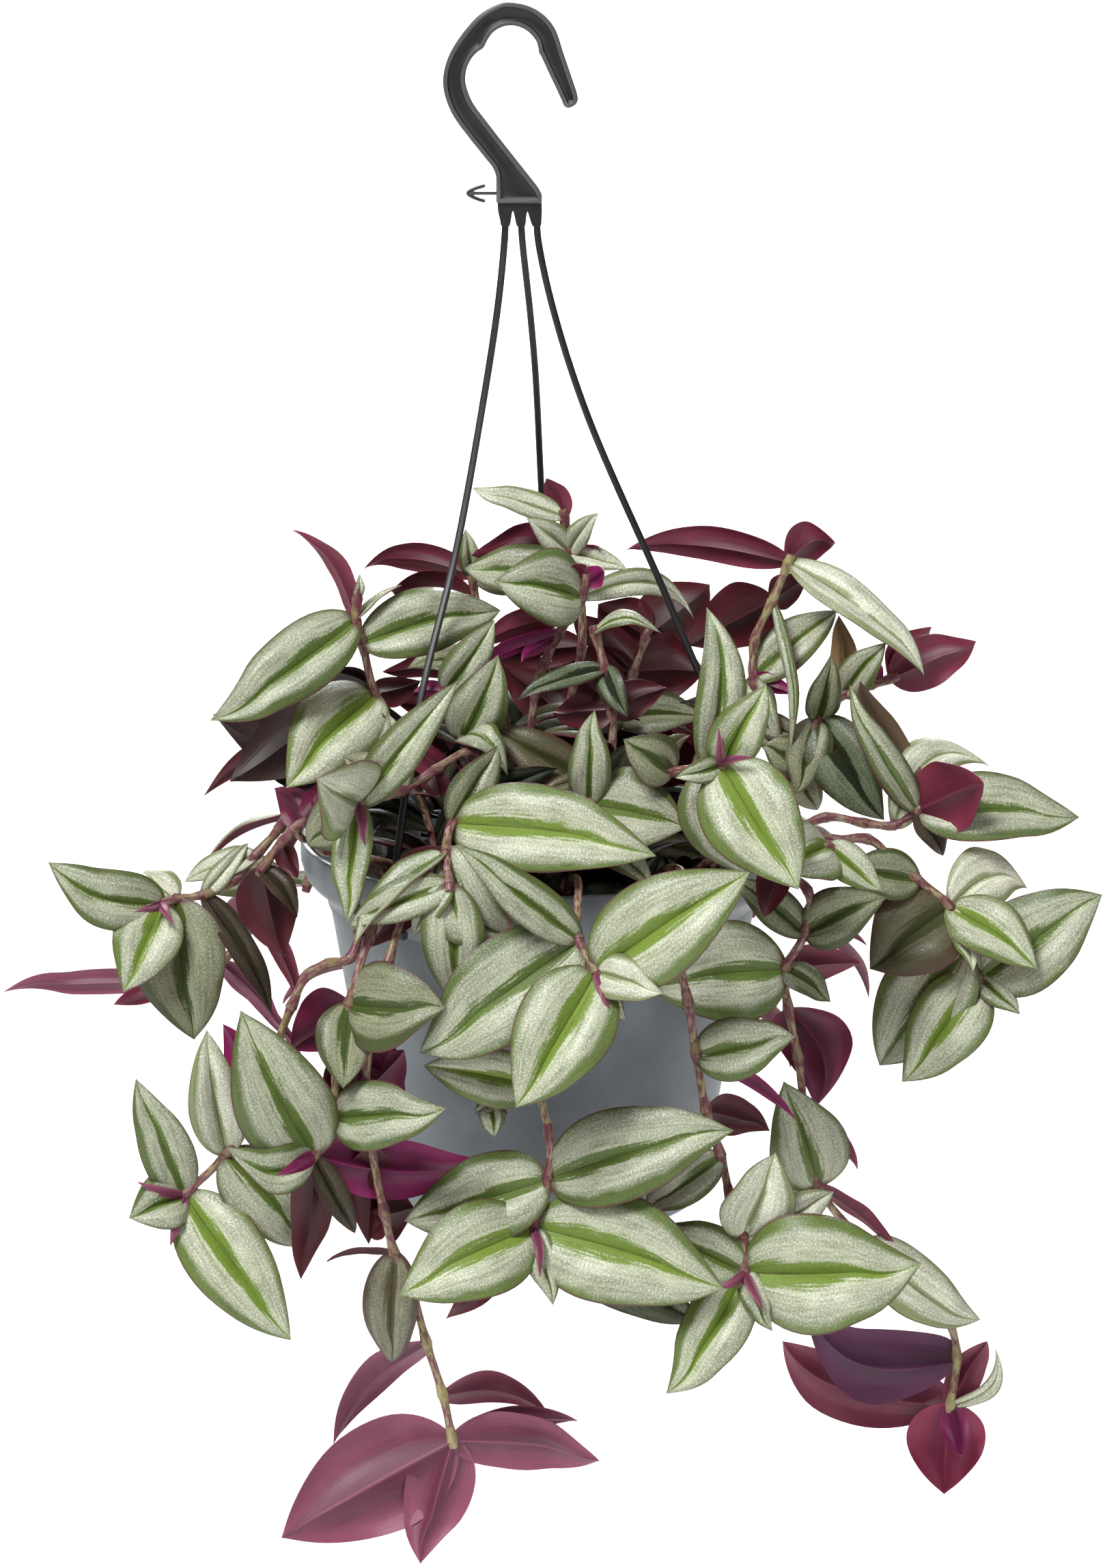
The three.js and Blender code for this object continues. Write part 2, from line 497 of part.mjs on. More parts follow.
    stem: [[92, 268, -58], [91, 281, -58], [85, 292, -56], [86, 305, -54], [89, 320, -52], [91, 337, -50], [95, 359, -46],
      [110, 377, -40], [127, 390, -36], [136, 402, -34], [138, 413, -34], [136, 427, -34]],
    leaves: [[2, 43, 298, 2, 31, 8], [1, 116, 270, 6, 18, -10], [1, 69, 264, -4, 13, 20], [1, 110, 284, -10, 7, -110],
      [2, 108, 290, -14, 13, -165], [2, 68, 304, -10, 8, 150], [3, 94, 335, -2, 21, 174], [2, 99, 302, 4, 11, -30],
      [6, 84.5, 327, 10, 25, 2], [6, 76, 369, 2, 16, 10], [6, 120, 380, -6, 8, -130], [5, 107.5, 353.5, -4, 7, -130],
      [7, 145.5, 400.5, 2, 15, -20], [10, 91, 397, 0, 26, 160], [11, 84, 407, 6, 19, 150, 0.14],
      [11, 134, 454.5, 8, 25, 178], [11, 140, 443, 12, 9, 176], [10, 147, 407, 4, 8, 172], [11, 150, 414, -6, 9, 10]],
  },
  {
    name: "shoot_right_arm_low", root: [66, 34], over: 72,
    stem: [[100, 252, -34], [111, 252, -34], [119, 259, -32], [126, 264.5, -32], [136, 273, -32], [140, 285, -32], [145, 295, -32]],
    leaves: [[4, 163, 292, 14, 19, -15], [4, 111, 292, 6, 29, 10], [4, 143, 293, 12, 8, -10], [4, 160, 267, -12, 19, -20],
      [3, 101, 262, 4, 16, 12], [5, 114, 322, -6, 29, 6], [6, 183, 269, 2, 29, -10], [6, 121, 327, 10, 24, 4],
      [6, 157.5, 306, 8, 9, -10], [5, 143, 296, -4, 10, 10]],
  },
];

// Leafy stems at the back and sides, which no front view shows: [degrees, how far it hangs below the rim]
const BACK_SHOOTS = [[114, 14], [130, 36], [146, 66], [159, 98], [171, 76], [187, 104], [203, 90], [219, 58],
  [240, 24]];
const BACK_SEED = 20417;
const BACK_RIM_REACH = 81;
const BACK_NODE_STEP = 24;
const BACK_LEAF_LENGTH = [38, 52];
const BACK_LEAF_WIDTH = 0.44; // of its length
const BACK_SPREAD = 0.55; // sideways share of a leaf's direction
const BACK_LEAN = 0.75; // outward share

// Seeded draws between 0 and 1
function drawer(seed) {
  let state = seed;
  return () => {
    state = (Math.imul(state, 1664525) + 1013904223) >>> 0;
    return state / 2 ** 32;
  };
}

function rootPoints([degrees, radius], over) {
  const top = RIM_TOP - SOIL_DROP;
  const points = [roundPot(degrees, radius, top - ROOT_DEPTH), roundPot(degrees, radius, top + 2)];
  if (over !== undefined) {
    points.push(roundPot(over, RIM_CREST, RIM_TOP + 3), roundPot(over, 77, RIM_TOP + 4.5));
  }
  return points;
}

// A stem's smooth line, carried a little past its last leaf
function stemLine(points) {
  const line = smoothLine(points);
  const [before, last] = line.slice(-2);
  return [...line, last.clone().add(last.clone().sub(before).setLength(STEM_END))];
}

function frontShoot({ name, root, over, stem, leaves }) {
  const nodes = stem.map((row) => seen(...row));
  const line = stemLine([...rootPoints(root, over), ...nodes]);
  const rows = leaves.map(([at, right, drop, nearer, width, turn, arch, fold]) => ({
    base: nodes[at], width, turn, arch, fold,
    tipAt: (shift) => seen(right, drop, stem[at][2] - nearer - shift),
  }));
  return { name, line, rows };
}

function backShoot([degrees, hang], index, draw) {
  const nodes = [];
  const count = Math.max(2, Math.round((hang + 22) / BACK_NODE_STEP));
  for (let i = 0; i < count; i += 1) {
    const reach = BACK_RIM_REACH + 5 * Math.sin((Math.PI * i) / count);
    nodes.push(roundPot(degrees + 3 * (draw() - 0.5), reach, RIM_TOP - 4 - (i * hang) / (count - 1)));
  }
  const outward = roundPot(degrees, 1, 0).sub(roundPot(0, 0, 0));
  const around = roundPot(degrees + 90, 1, 0).sub(roundPot(0, 0, 0));
  const rows = nodes.map((base, i) => {
    const side = i % 2 === 0 ? 1 : -1;
    const length = BACK_LEAF_LENGTH[0] + draw() * (BACK_LEAF_LENGTH[1] - BACK_LEAF_LENGTH[0]);
    const lean = outward.clone().multiplyScalar(BACK_LEAN + 0.3 * draw());
    lean.addScaledVector(around, side * BACK_SPREAD * (0.7 + 0.6 * draw()));
    lean.z = -0.35 - 0.5 * draw();
    lean.normalize();
    const face = outward.clone().multiplyScalar(0.5).add(new THREE.Vector3(0, 0, 1));
    return {
      base, width: length * BACK_LEAF_WIDTH, face, arch: 0.1,
      tipAt: (shift) => base.clone().addScaledVector(lean, length).addScaledVector(outward, shift),
    };
  });
  for (const side of [-1, 1]) {
    const rise = outward.clone().multiplyScalar(-0.5 - 0.4 * draw()).addScaledVector(around, side * (0.3 + 0.5 * draw()));
    rise.z = 0.7 + 0.5 * draw();
    rise.normalize();
    const base = roundPot(degrees, RIM_CREST, RIM_TOP + 3);
    const length = BACK_LEAF_LENGTH[0] + draw() * 8;
    rows.push({
      base, width: length * BACK_LEAF_WIDTH, face: outward, arch: -0.06,
      tipAt: (shift) => base.clone().addScaledVector(rise, length).addScaledVector(outward, shift),
    });
  }
  const root = [degrees, 52 - 14 * (index % 2)];
  return { name: `shoot_back_${index + 1}`, line: stemLine([...rootPoints(root, degrees), ...nodes]), rows };
}

// A leaf that would cross its neighbour bends nearer or further, and then grows shorter, until it is clear
const BEND_STEPS = [0, 6, -6, 12, -12, 18, -18, 24, -24, 30];
const LENGTH_SHARES = [1, 0.82, 0.64];

function bent(row, shift, share) {
  const tip = row.base.clone().lerp(row.tipAt(shift), share);
  const face = row.face ?? faceOf(row.base, tip, row.turn);
  return { node: row.base, tip, width: row.width * (0.5 + share / 2), face, arch: row.arch, fold: row.fold };
}

function boxesMeet(a, b) {
  return [0, 1, 2].every((k) => a.min[k] <= b.max[k] && b.min[k] <= a.max[k]);
}

function growLeaves(shoots, fixed) {
  const placed = fixed.map((solid) => ({ owner: "", solid, box: solid.boundingBox() }));
  for (const shoot of shoots) {
    placed.push({ owner: shoot.name, solid: shoot.stem, box: shoot.stem.boundingBox() });
  }
  const isClear = (solid, owner) => {
    const box = solid.boundingBox();
    return !placed.some((other) => other.owner !== owner && boxesMeet(box, other.box)
      && solid.intersect(other.solid).volume() > 1e-4);
  };
  for (const shoot of shoots) {
    shoot.blades = [];
    for (const row of shoot.rows) {
      const tries = LENGTH_SHARES.flatMap((share) => BEND_STEPS.map((shift) => bent(row, shift, share)));
      const leaf = tries.find((shape) => isClear(blade(shape, CLEARANCE), shoot.name));
      if (leaf) {
        const solid = blade(leaf);
        placed.push({ owner: shoot.name, solid, box: solid.boundingBox() });
        shoot.blades.push(solid);
      }
    }
  }
}

// The assembly
const LEAF_GREEN = new THREE.MeshStandardMaterial({ color: 0x9db083, roughness: 0.45, metalness: 0 });
const POT_GREY = new THREE.MeshStandardMaterial({ color: 0x8a9398, roughness: 0.5, metalness: 0 });
const HANGER_BLACK = new THREE.MeshStandardMaterial({ color: 0x3a3738, roughness: 0.42, metalness: 0 });
const SOIL_BROWN = new THREE.MeshStandardMaterial({ color: 0x171210, roughness: 0.95, metalness: 0 });

const plant = new THREE.Group();

function place(name, solid, material) {
  const mesh = new THREE.Mesh(geometryOf(solid), material);
  mesh.name = name;
  plant.add(mesh);
}

const draw = drawer(BACK_SEED);
const shoots = [...SHOOTS.map(frontShoot), ...BACK_SHOOTS.map((row, i) => backShoot(row, i, draw))];
for (const shoot of shoots) {
  shoot.stem = sweep(shoot.line, roundSection(STEM_RADIUS, STEM_SIDES), new THREE.Vector3(1, 0, 0));
}
const hangerSolid = hanger();
const potSolid = pot();
const soilSolid = soil(shoots.map((shoot) => shoot.line[0]));
growLeaves(shoots, [hangerSolid, potSolid, soilSolid]);

place("hanger", hangerSolid, HANGER_BLACK);
place("pot", potSolid, POT_GREY);
place("soil", soilSolid, SOIL_BROWN);
for (const shoot of shoots) {
  place(shoot.name, wasm.Manifold.union([shoot.stem, ...shoot.blades]).simplify(SMOOTHING), LEAF_GREEN);
}

export default plant;
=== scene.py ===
# %% [markdown]
# # A zebra tradescantia in its hanging pot
# The real thing is a 15 cm plastic pot that hangs by one moulded hanger, with 36 soft stems of
# Tradescantia zebrina growing over its rim. Each leaf has two silver bands above and is wine red below.
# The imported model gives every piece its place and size. This lesson gives each piece its finer shape and
# its finish, one piece at a time.

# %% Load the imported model
import math

import bpy
import numpy as np
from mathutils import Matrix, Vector
from mathutils.bvhtree import BVHTree
from mathutils.geometry import tessellate_polygon


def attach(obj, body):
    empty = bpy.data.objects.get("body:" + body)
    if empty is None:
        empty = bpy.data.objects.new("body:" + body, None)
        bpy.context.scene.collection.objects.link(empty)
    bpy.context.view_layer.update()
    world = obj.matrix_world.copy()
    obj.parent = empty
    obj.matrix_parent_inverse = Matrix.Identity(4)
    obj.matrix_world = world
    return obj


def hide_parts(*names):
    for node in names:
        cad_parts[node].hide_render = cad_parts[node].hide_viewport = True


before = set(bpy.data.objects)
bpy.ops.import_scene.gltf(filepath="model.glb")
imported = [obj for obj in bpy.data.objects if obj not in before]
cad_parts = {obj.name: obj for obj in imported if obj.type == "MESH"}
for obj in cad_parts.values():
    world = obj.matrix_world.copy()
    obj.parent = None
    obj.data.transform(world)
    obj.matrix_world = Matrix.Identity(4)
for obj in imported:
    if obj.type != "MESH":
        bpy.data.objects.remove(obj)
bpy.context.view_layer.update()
print("packed nodes:", len(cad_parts))

# %% [markdown]
# ## Sizes and the photographer's view
# The plant is measured in millimetres from the point where the hook hangs. Most leaves are known only as
# they look from the front, so a point is given by what a viewer sees, right and down from the hook, and by
# its true depth. One function turns that into a place in space, with the same view as the camera's.

# %% Sizes in millimetres
MM = 0.001
POT_X = 9.3
RIM_TOP = -248.0
RIM_RADIUS = 75.0
POT_HEIGHT = 115.0
BASE_RADIUS = 50.6
WALL = 1.6
SHELF = [(66.0, -21.0), (68.4, -16.4), (73.2, -11.6), (75.0, -6.5)]
SOIL_DROP = 16.5
ROOT_DEPTH = 12.0
RIM_CREST = 66.0  # where stems reach the rim, and where they have passed it
RIM_PASSED = 77.0
SLOT_RADIUS = 70.6
STRAP_WIDTH = 2.1
STRAP_THICKNESS = 1.6
CLEARANCE = 0.35

# %% The view
VIEW_PITCH = math.radians(14)
VIEW_DISTANCE = 1400.0
VIEW_CENTRE = np.array([12.4, 0.0, -232.3])
VIEW_RIGHT = 12.9
VIEW_DROP = 234.8
SIGHT = np.array([0.0, math.cos(VIEW_PITCH), -math.sin(VIEW_PITCH)])
VIEW_UP = np.array([0.0, math.sin(VIEW_PITCH), math.cos(VIEW_PITCH)])
VIEWER = VIEW_CENTRE - SIGHT * VIEW_DISTANCE


def seen(right, drop, y):
    """The point that looks that far right and down of the hook and lies at depth y, in millimetres."""
    ray = SIGHT * VIEW_DISTANCE + np.array([right - VIEW_RIGHT, 0.0, 0.0]) + VIEW_UP * (VIEW_DROP - drop)
    return VIEWER + ray * (y - VIEWER[1]) / ray[1]


def round_pot(degrees, radius, z):
    """A point round the pot's axis: 0 degrees is the front, 90 the right."""
    turn = math.radians(degrees)
    return np.array([POT_X + radius * math.sin(turn), -radius * math.cos(turn), z])


def way_round(degrees):
    """The level direction from the pot's axis to such a point."""
    return round_pot(degrees, 1, 0) - round_pot(0, 0, 0)


# %% The camera
FRAME_HEIGHT = 2296 * 0.2113  # what the picture's height takes in at the hook's distance, in millimetres
SENSOR = 36.0
camera_data = bpy.data.cameras.new("view")
camera_data.sensor_width = SENSOR
camera_data.lens = SENSOR * VIEW_DISTANCE / FRAME_HEIGHT
camera_data.clip_start = 0.05


def stand(name, data):
    """Puts an object with this data into the scene."""
    thing = bpy.data.objects.new(name, data)
    bpy.context.scene.collection.objects.link(thing)
    return thing


camera = stand("view", camera_data)
camera.location = Vector(VIEWER * MM)
camera.rotation_euler = Vector(SIGHT).to_track_quat("-Z", "Y").to_euler()
bpy.context.scene.camera = camera
print("lens:", round(camera_data.lens, 1), "mm")

# %% [markdown]
# ## Helpers
# Blender works with linear light, while colours are usually read off as sRGB hex values, so one function
# turns the second into the first. Another adds a shader node and gives back the output that the next one
# needs. Every material here ends the same way, with coats of colour and a fine relief, so a third does that.
# Last comes a class that makes an object out of points and faces that numpy worked out, the quickest way to
# make many leaves.


# %% Colours and nodes
def linear(hex_colour):
    shares = [int(hex_colour[i : i + 2], 16) / 255 for i in (1, 3, 5)]
    return tuple(s / 12.92 if s <= 0.04045 else ((s + 0.055) / 1.055) ** 2.4 for s in shares) + (1.0,)


def add(tree, kind, inputs=(), output=0, **settings):
    """Adds a shader node and returns an output. Inputs go by place or by name, and sockets are linked."""
    node = tree.nodes.new("ShaderNode" + kind)
    for name, value in settings.items():
        setattr(node, name, value)
    for socket, value in inputs.items() if isinstance(inputs, dict) else enumerate(inputs):
        if isinstance(value, bpy.types.NodeSocket):
            tree.links.new(value, node.inputs[socket])
        else:
            node.inputs[socket].default_value = value
    return node.outputs[output]


def new_material(name, roughness, ior=1.46):
    material = bpy.data.materials.new(name)
    material.use_nodes = True
    shader = material.node_tree.nodes["Principled BSDF"]
    shader.inputs["Roughness"].default_value = roughness
    shader.inputs["IOR"].default_value = ior
    return material, material.node_tree, shader


def finish_skin(tree, shader, skin, coats, relief, strength, depth):
    """Lays coats over a ground colour, each as dense as its factor, and adds a relief of so many mm."""
    for factor, coat in coats:
        layer = {"Factor": factor, "A": skin, "B": linear(coat) if isinstance(coat, str) else coat}
        skin = add(tree, "Mix", layer, "Result", data_type="RGBA")
    tree.links.new(skin, shader.inputs["Base Color"])
    bump = add(tree, "Bump", {"Height": relief, "Strength": strength, "Distance": depth * MM})
    tree.links.new(bump, shader.inputs["Normal"])


# %% Objects out of points and faces
class Pieces:
    """Gathers points in millimetres, faces, their material numbers and their values for the shaders."""

    def __init__(self):
        self.points, self.faces, self.slots = [], [], []
        self.values = {}
        self.count = 0

    def add(self, points, faces, slot=0, **values):
        points = np.asarray(points, float)
        self.points.append(points)
        self.faces.extend([tuple(int(i) + self.count for i in face) for face in faces])
        self.slots.extend([slot] * len(faces))
        for name, value in values.items():
            filled = np.broadcast_to(np.asarray(value, float), (len(points), 3))
            self.values.setdefault(name, []).append((self.count, filled))
        self.count += len(points)

    def mesh(self, name):
        mesh = bpy.data.meshes.new(name)
        mesh.from_pydata((np.concatenate(self.points) * MM).tolist(), [], self.faces)
        return mesh

    def build(self, name, materials, node, slot, sharp=50):
        mesh = self.mesh(name)
        for material in materials:
            mesh.materials.append(material)
        mesh.polygons.foreach_set("material_index", self.slots)
        for value_name, blocks in self.values.items():
            data = np.zeros((self.count, 3))
            for start, block in blocks:
                data[start : start + len(block)] = block
            layer = mesh.attributes.new(value_name, "FLOAT_VECTOR", "POINT")
            layer.data.foreach_set("vector", data.ravel())
        mesh.shade_smooth()
        mesh.set_sharp_from_angle(angle=math.radians(sharp))
        mesh.update()
        piece = stand(name, mesh)
        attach(piece, "root")
        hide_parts(node)
        return piece


def grid_faces(rows, columns, closed=False):
    """Quads over rows of points, each row with the given number of points."""
    wide = columns if closed else columns - 1
    i, j = np.meshgrid(np.arange(rows - 1), np.arange(wide), indexing="ij")
    a = (i * columns + j).ravel()
    b = (i * columns + (j + 1) % columns).ravel()
    return np.stack([a, b, b + columns, a + columns], 1)


# %% Smooth lines
LINE_STEP = 2.5


def curve(p1, p2, m1, m2, t):
    """A point of the cubic from p1 to p2 that has the slopes m1 and m2 at its ends."""
    return (2 * p1 - 2 * p2 + m1 + m2) * t**3 + (3 * p2 - 3 * p1 - 2 * m1 - m2) * t**2 + m1 * t + p1


def smooth_line(points, step=LINE_STEP):
    """A centripetal Catmull-Rom line through the points: it has no loops where they lie close together."""
    points = np.asarray(points, float)
    ends = [2 * points[0] - points[1], *points, 2 * points[-1] - points[-2]]
    line = [points[0]]
    for p0, p1, p2, p3 in zip(ends, ends[1:], ends[2:], ends[3:]):
        d0, d1, d2 = (max(np.linalg.norm(b - a), 1e-6) ** 0.5 for a, b in ((p0, p1), (p1, p2), (p2, p3)))
        m1 = ((p1 - p0) / d0 - (p2 - p0) / (d0 + d1) + (p2 - p1) / d1) * d1
        m2 = ((p2 - p1) / d1 - (p3 - p1) / (d1 + d2) + (p3 - p2) / d2) * d1
        pieces = max(1, math.ceil(np.linalg.norm(p2 - p1) / step))
        line.extend(curve(p1, p2, m1, m2, t) for t in np.arange(1, pieces + 1) / pieces)
    return np.array(line)


def frames_along(line, across):
    """For each point of a line two directions square to it that don't twist."""
    steps = np.diff(line, axis=0)
    along = np.vstack([steps[:1], steps[:-1] + steps[1:], steps[-1:]])
    along /= np.linalg.norm(along, axis=1)[:, None]
    sides = []
    side = np.asarray(across, float)
    for direction in along:
        side = side - direction * side.dot(direction)
        side /= np.linalg.norm(side)
        sides.append(side)
    return np.array(sides), np.cross(along, sides)


def sweep(pieces, line, section, slot=0, across=(1.0, 0.0, 0.0), scale=None, **values):
    """Sweeps a closed section along a line and closes its two ends."""
    sides, overs = frames_along(line, across)
    section = np.asarray(section, float)
    scale = np.ones(len(line)) if scale is None else np.asarray(scale)
    offsets = sides[:, None] * section[None, :, :1] + overs[:, None] * section[None, :, 1:]
    points = (line[:, None] + offsets * scale[:, None, None]).reshape(-1, 3)
    count = len(section)
    faces = [tuple(face) for face in grid_faces(len(line), count, closed=True)]
    last = (len(line) - 1) * count
    faces += [tuple(reversed(range(count))), tuple(range(last, last + count))]
    values = {name: np.repeat(value, count, axis=0) for name, value in values.items()}
    pieces.add(points, faces, slot, **values)


def circle(sides, radius=1.0):
    turns = np.linspace(0, 2 * math.pi, sides + 1)[:-1]
    return [(radius * math.cos(t), radius * math.sin(t)) for t in turns]


def rounded_section(width, thickness, corner, steps=3):
    """A rectangle with rounded corners, as points round it."""
    points = []
    for quarter in range(4):
        cx = (1, -1, -1, 1)[quarter] * (width / 2 - corner)
        cy = (1, 1, -1, -1)[quarter] * (thickness / 2 - corner)
        for k in range(steps + 1):
            turn = math.pi / 2 * (quarter + k / steps)
            points.append((cx + corner * math.cos(turn), cy + corner * math.sin(turn)))
    return points


# %% [markdown]
# ## Black polypropylene for the hanger
# The hanger is injection-moulded polypropylene, dyed in the mass with carbon black. Straight from the mould
# it has a satin skin with a very fine spark-eroded grain. Its edges and its rim carry a painted highlight, a
# paler grey: Blender's pointiness finds the edges, and a value that the pieces carry says how much each part
# gets.
# A grain finer than half a millimetre is drawn a little coarser here, so that it shows at all.

# %% Hanger material
GRAIN_MM = 0.35


def satin_plastic(name, dark, light, highlight_grey, roughness, grain_depth):
    material, tree, shader = new_material(name, roughness, ior=1.49)
    place = add(tree, "TexCoord", output="Object")
    cloud = add(tree, "TexNoise", {"Vector": place, "Scale": 60.0, "Detail": 3.0})
    tone = add(tree, "MapRange", (cloud, 0.3, 0.7))
    # painted highlight: edges that pointiness finds, and parts with a highlight share, turn a paler grey
    edge = add(tree, "NewGeometry", output="Pointiness")
    highlight_mask = add(tree, "MapRange", (edge, 0.51, 0.58, 0.0, 0.5))
    handled = add(tree, "Attribute", output="Fac", attribute_name="handled")
    highlight_mask = add(tree, "Math", (highlight_mask, handled), operation="ADD", use_clamp=True)
    grain = add(tree, "TexNoise", {"Vector": place, "Scale": 1 / (GRAIN_MM * MM), "Detail": 2.0})
    finish_skin(tree, shader, linear(dark), ((tone, light), (highlight_mask, highlight_grey)), grain, 0.5, grain_depth)
    return material


# the third colour is the painted highlight on the hook's edges and rim
hanger_plastic = satin_plastic("black_polypropylene", "#171517", "#242224", "#5f5d60", 0.38, 0.05)

# %% [markdown]
# ## The hook and its straps
# Such a hook is a flat plate, 5 mm thick, with a recess in each face that leaves a rim all round: that saves
# plastic and keeps the hook stiff. It is made here as rings that follow the outline: over the rim, down the
# recess and across the web. The barb and the necks are thinner plates, and the straps are swept bars whose
# feet lock under the pot's rim.

# %% Outlines as seen from the front
HOOK_THICKNESS = 5.0
WEB_RECESS = 1.6
RIM_WIDTH = 1.5
CORNER = 0.8  # how round the outline's corners are
HOOK_LEFT = [(-4.5, 55), (-4.6, 46.2), (-5.6, 43.8)]
HOOK_OUTSIDE = [(-12.5, 35.3), (-18.5, 26.7), (-21, 17.5), (-18.6, 8.2), (-11.4, -1.6),
                (-4.5, -6.4), (0.4, -7.2), (7.3, -5.3), (13.3, 0.5), (16.7, 9.9), (20.4, 20.7)]
HOOK_TIP = [(20.9, 23), (20.1, 24.6), (18, 25.6), (16.5, 25.2)]
HOOK_INSIDE = [(15.6, 22.9), (13.7, 18.8), (11.8, 14.8), (9.5, 9.8), (8.7, 8.4), (8.4, 6.6), (7.6, 4.4),
               (5.3, 1.9), (2.8, 0.5), (0, 0), (-3, 0.6), (-5.6, 2.3), (-7.2, 4.6), (-8.1, 6.4), (-9, 7.4),
               (-10.5, 8.4), (-12.4, 10.7), (-13.7, 13.8), (-14, 17.7), (-13, 21.4), (-11.3, 24.9),
               (-7.5, 29.9), (-3.9, 34.6)]
HOOK_RIGHT = [(8.5, 50.3), (9.8, 52.8), (9.5, 55)]
NECKS = [(-4.1, 54.6), (-3.5, 58), (-3, 60), (-2.7, 62), (-0.6, 62), (-0.2, 60), (0, 58), (0.65, 56.4),
         (1.3, 58), (1.7, 60), (2.1, 62), (4.2, 62), (4.4, 60), (4.6, 58), (5.2, 56.4), (5.7, 58), (6.3, 60),
         (7, 62), (9.1, 62), (9.2, 60), (9.3, 58), (9.5, 54.6)]
BARB = [[(-3.6, 52), (-13, 52)],
        [(-7.9, 49.6), (-10.4, 50.3), (-12.6, 51.3), (-13.3, 52), (-12.6, 52.7), (-10.4, 53.7), (-7.9, 54.5)]]
BARB_WIDTH = 1.1
BARB_THICKNESS = 1.5
HOOK_HIGHLIGHT = 0.4  # how much painted highlight the hook's rim and edges get
STRAP_HIGHLIGHT = -0.3  # the straps' edges get less painted highlight, so they stay dark
FOOT_DROP = 15.6  # the feet lie this far under the pot's rim
FOOT_HEIGHT = 2.2
FOOT_WIDTH = 7.0
STRAPS = [  # degrees round the pot, where it leaves its neck, and its route
    (-38, (-1.65, 60),
     [(-1.9, 66, 0), (-4, 87, -4), (-9.1, 120, -11), (-17.1, 163.5, -24), (-28.4, 211, -43)]),
    (176, (3.15, 60), [(3.5, 66, 0), (6.1, 90, 9), (7.7, 109, 17), (9.8, 150, 36), (13.6, 206, 60)]),
    (84, (8.05, 60), [(8.4, 66, 0), (13, 87.5, -1), (23.6, 120.5, -2), (46.5, 173, -4), (61, 206.6, -6)]),
]


def front_points(corners):
    return [seen(right, drop, 0)[[0, 2]] for right, drop in corners]


def spline(corners, pieces):
    """A smooth outline through the corners, like a bent lath."""
    points = np.array(front_points(corners))
    count = len(points) - 1
    line = []
    for t in np.linspace(0, count, pieces + 1):
        i = min(int(t), count - 1)
        p0, p1, p2, p3 = (points[np.clip(i + k, 0, count)] for k in (-1, 0, 1, 2))
        line.append(curve(p1, p2, (p2 - p0) / 2, (p3 - p1) / 2, t - i))
    return line


def round_corners(corners, radius=CORNER):
    """The corners as a line that rounds each one between the first and the last."""
    points = front_points(corners)
    line = [points[0]]
    for before, corner, after in zip(points, points[1:], points[2:]):
        ways = [p - corner for p in (before, after)]
        start, end = (corner + way * min(0.45, radius / np.linalg.norm(way)) for way in ways)
        for t in (0, 0.33, 0.67, 1):
            line.append(start * (1 - t) ** 2 + corner * 2 * t * (1 - t) + end * t**2)
    return line + [points[-1]]


def inset(outline, margin):
    """The outline moved inwards. It runs with its inside on the right."""
    outline = np.asarray(outline)
    along = np.roll(outline, -1, axis=0) - np.roll(outline, 1, axis=0)
    along /= np.linalg.norm(along, axis=1)[:, None]
    return outline + np.stack([along[:, 1], -along[:, 0]], 1) * margin


def plate(pieces, outline, rings, handled=0.0):
    """A moulded plate, the same on both faces: rings are (how far inside the outline, y) from its middle out.

    It carries a painted highlight on all rings but the two innermost ones of each face."""
    rings = [(margin, -y) for margin, y in rings] + [(margin, y) for margin, y in reversed(rings)]
    points = []
    for margin, y in rings:
        flat = inset(outline, margin)
        points.append(np.stack([flat[:, 0], np.full(len(flat), y), flat[:, 1]], 1))
    count = len(outline)
    faces = [tuple(face) for face in grid_faces(len(rings), count, closed=True)]
    for ring, turn in ((0, 1), (len(rings) - 1, -1)):
        corners = [Vector(p) for p in points[ring]]
        for triangle in tessellate_polygon([corners]):
            a, b, c = (points[ring][i] for i in triangle)
            front = np.cross(b - a, c - a)[1] < 0
            order = triangle if front == (turn > 0) else triangle[::-1]
            faces.append(tuple(ring * count + i for i in order))
    ring_highlight = np.full(len(rings), handled)
    ring_highlight[[0, 1, -2, -1]] = 0
    pieces.add(np.concatenate(points), faces, handled=np.repeat(ring_highlight, count)[:, None])


# %% Build the hanger
half = HOOK_THICKNESS / 2
web = half - WEB_RECESS
hook_outline = spline(HOOK_OUTSIDE, 70) + round_corners(HOOK_OUTSIDE[-1:] + HOOK_TIP + HOOK_INSIDE[:1])[1:-1]
base_corners = HOOK_INSIDE[-1:] + HOOK_RIGHT + HOOK_LEFT + HOOK_OUTSIDE[:1]
hook_outline += spline(HOOK_INSIDE, 84) + round_corners(base_corners)[1:-1]
hanger = Pieces()
rim = [(RIM_WIDTH + 0.3, web), (RIM_WIDTH + 0.1, web + 0.15), (RIM_WIDTH - 0.05, half - 0.5)]
rim += [(RIM_WIDTH - 0.2, half - 0.15), (RIM_WIDTH - 0.5, half), (0.6, half), (0.28, half - 0.12)]
rim += [(0.08, half - 0.35), (0, half - 0.75)]
plate(hanger, hook_outline, rim, HOOK_HIGHLIGHT)
plate(hanger, round_corners(NECKS, 0.6), [(0.35, 1.3), (0.1, 1.2), (0, 0.95)])
for bar in BARB:
    bends = smooth_line([seen(right, drop, 0) for right, drop in bar], step=0.4)
    taper = np.ones(len(bends))
    taper[[0, -1]] = 0.6
    section = rounded_section(BARB_THICKNESS, BARB_WIDTH, 0.4)
    sweep(hanger, bends, section, across=(0.0, 1.0, 0.0), scale=taper)
strap_section = rounded_section(STRAP_WIDTH, STRAP_THICKNESS, 0.55)
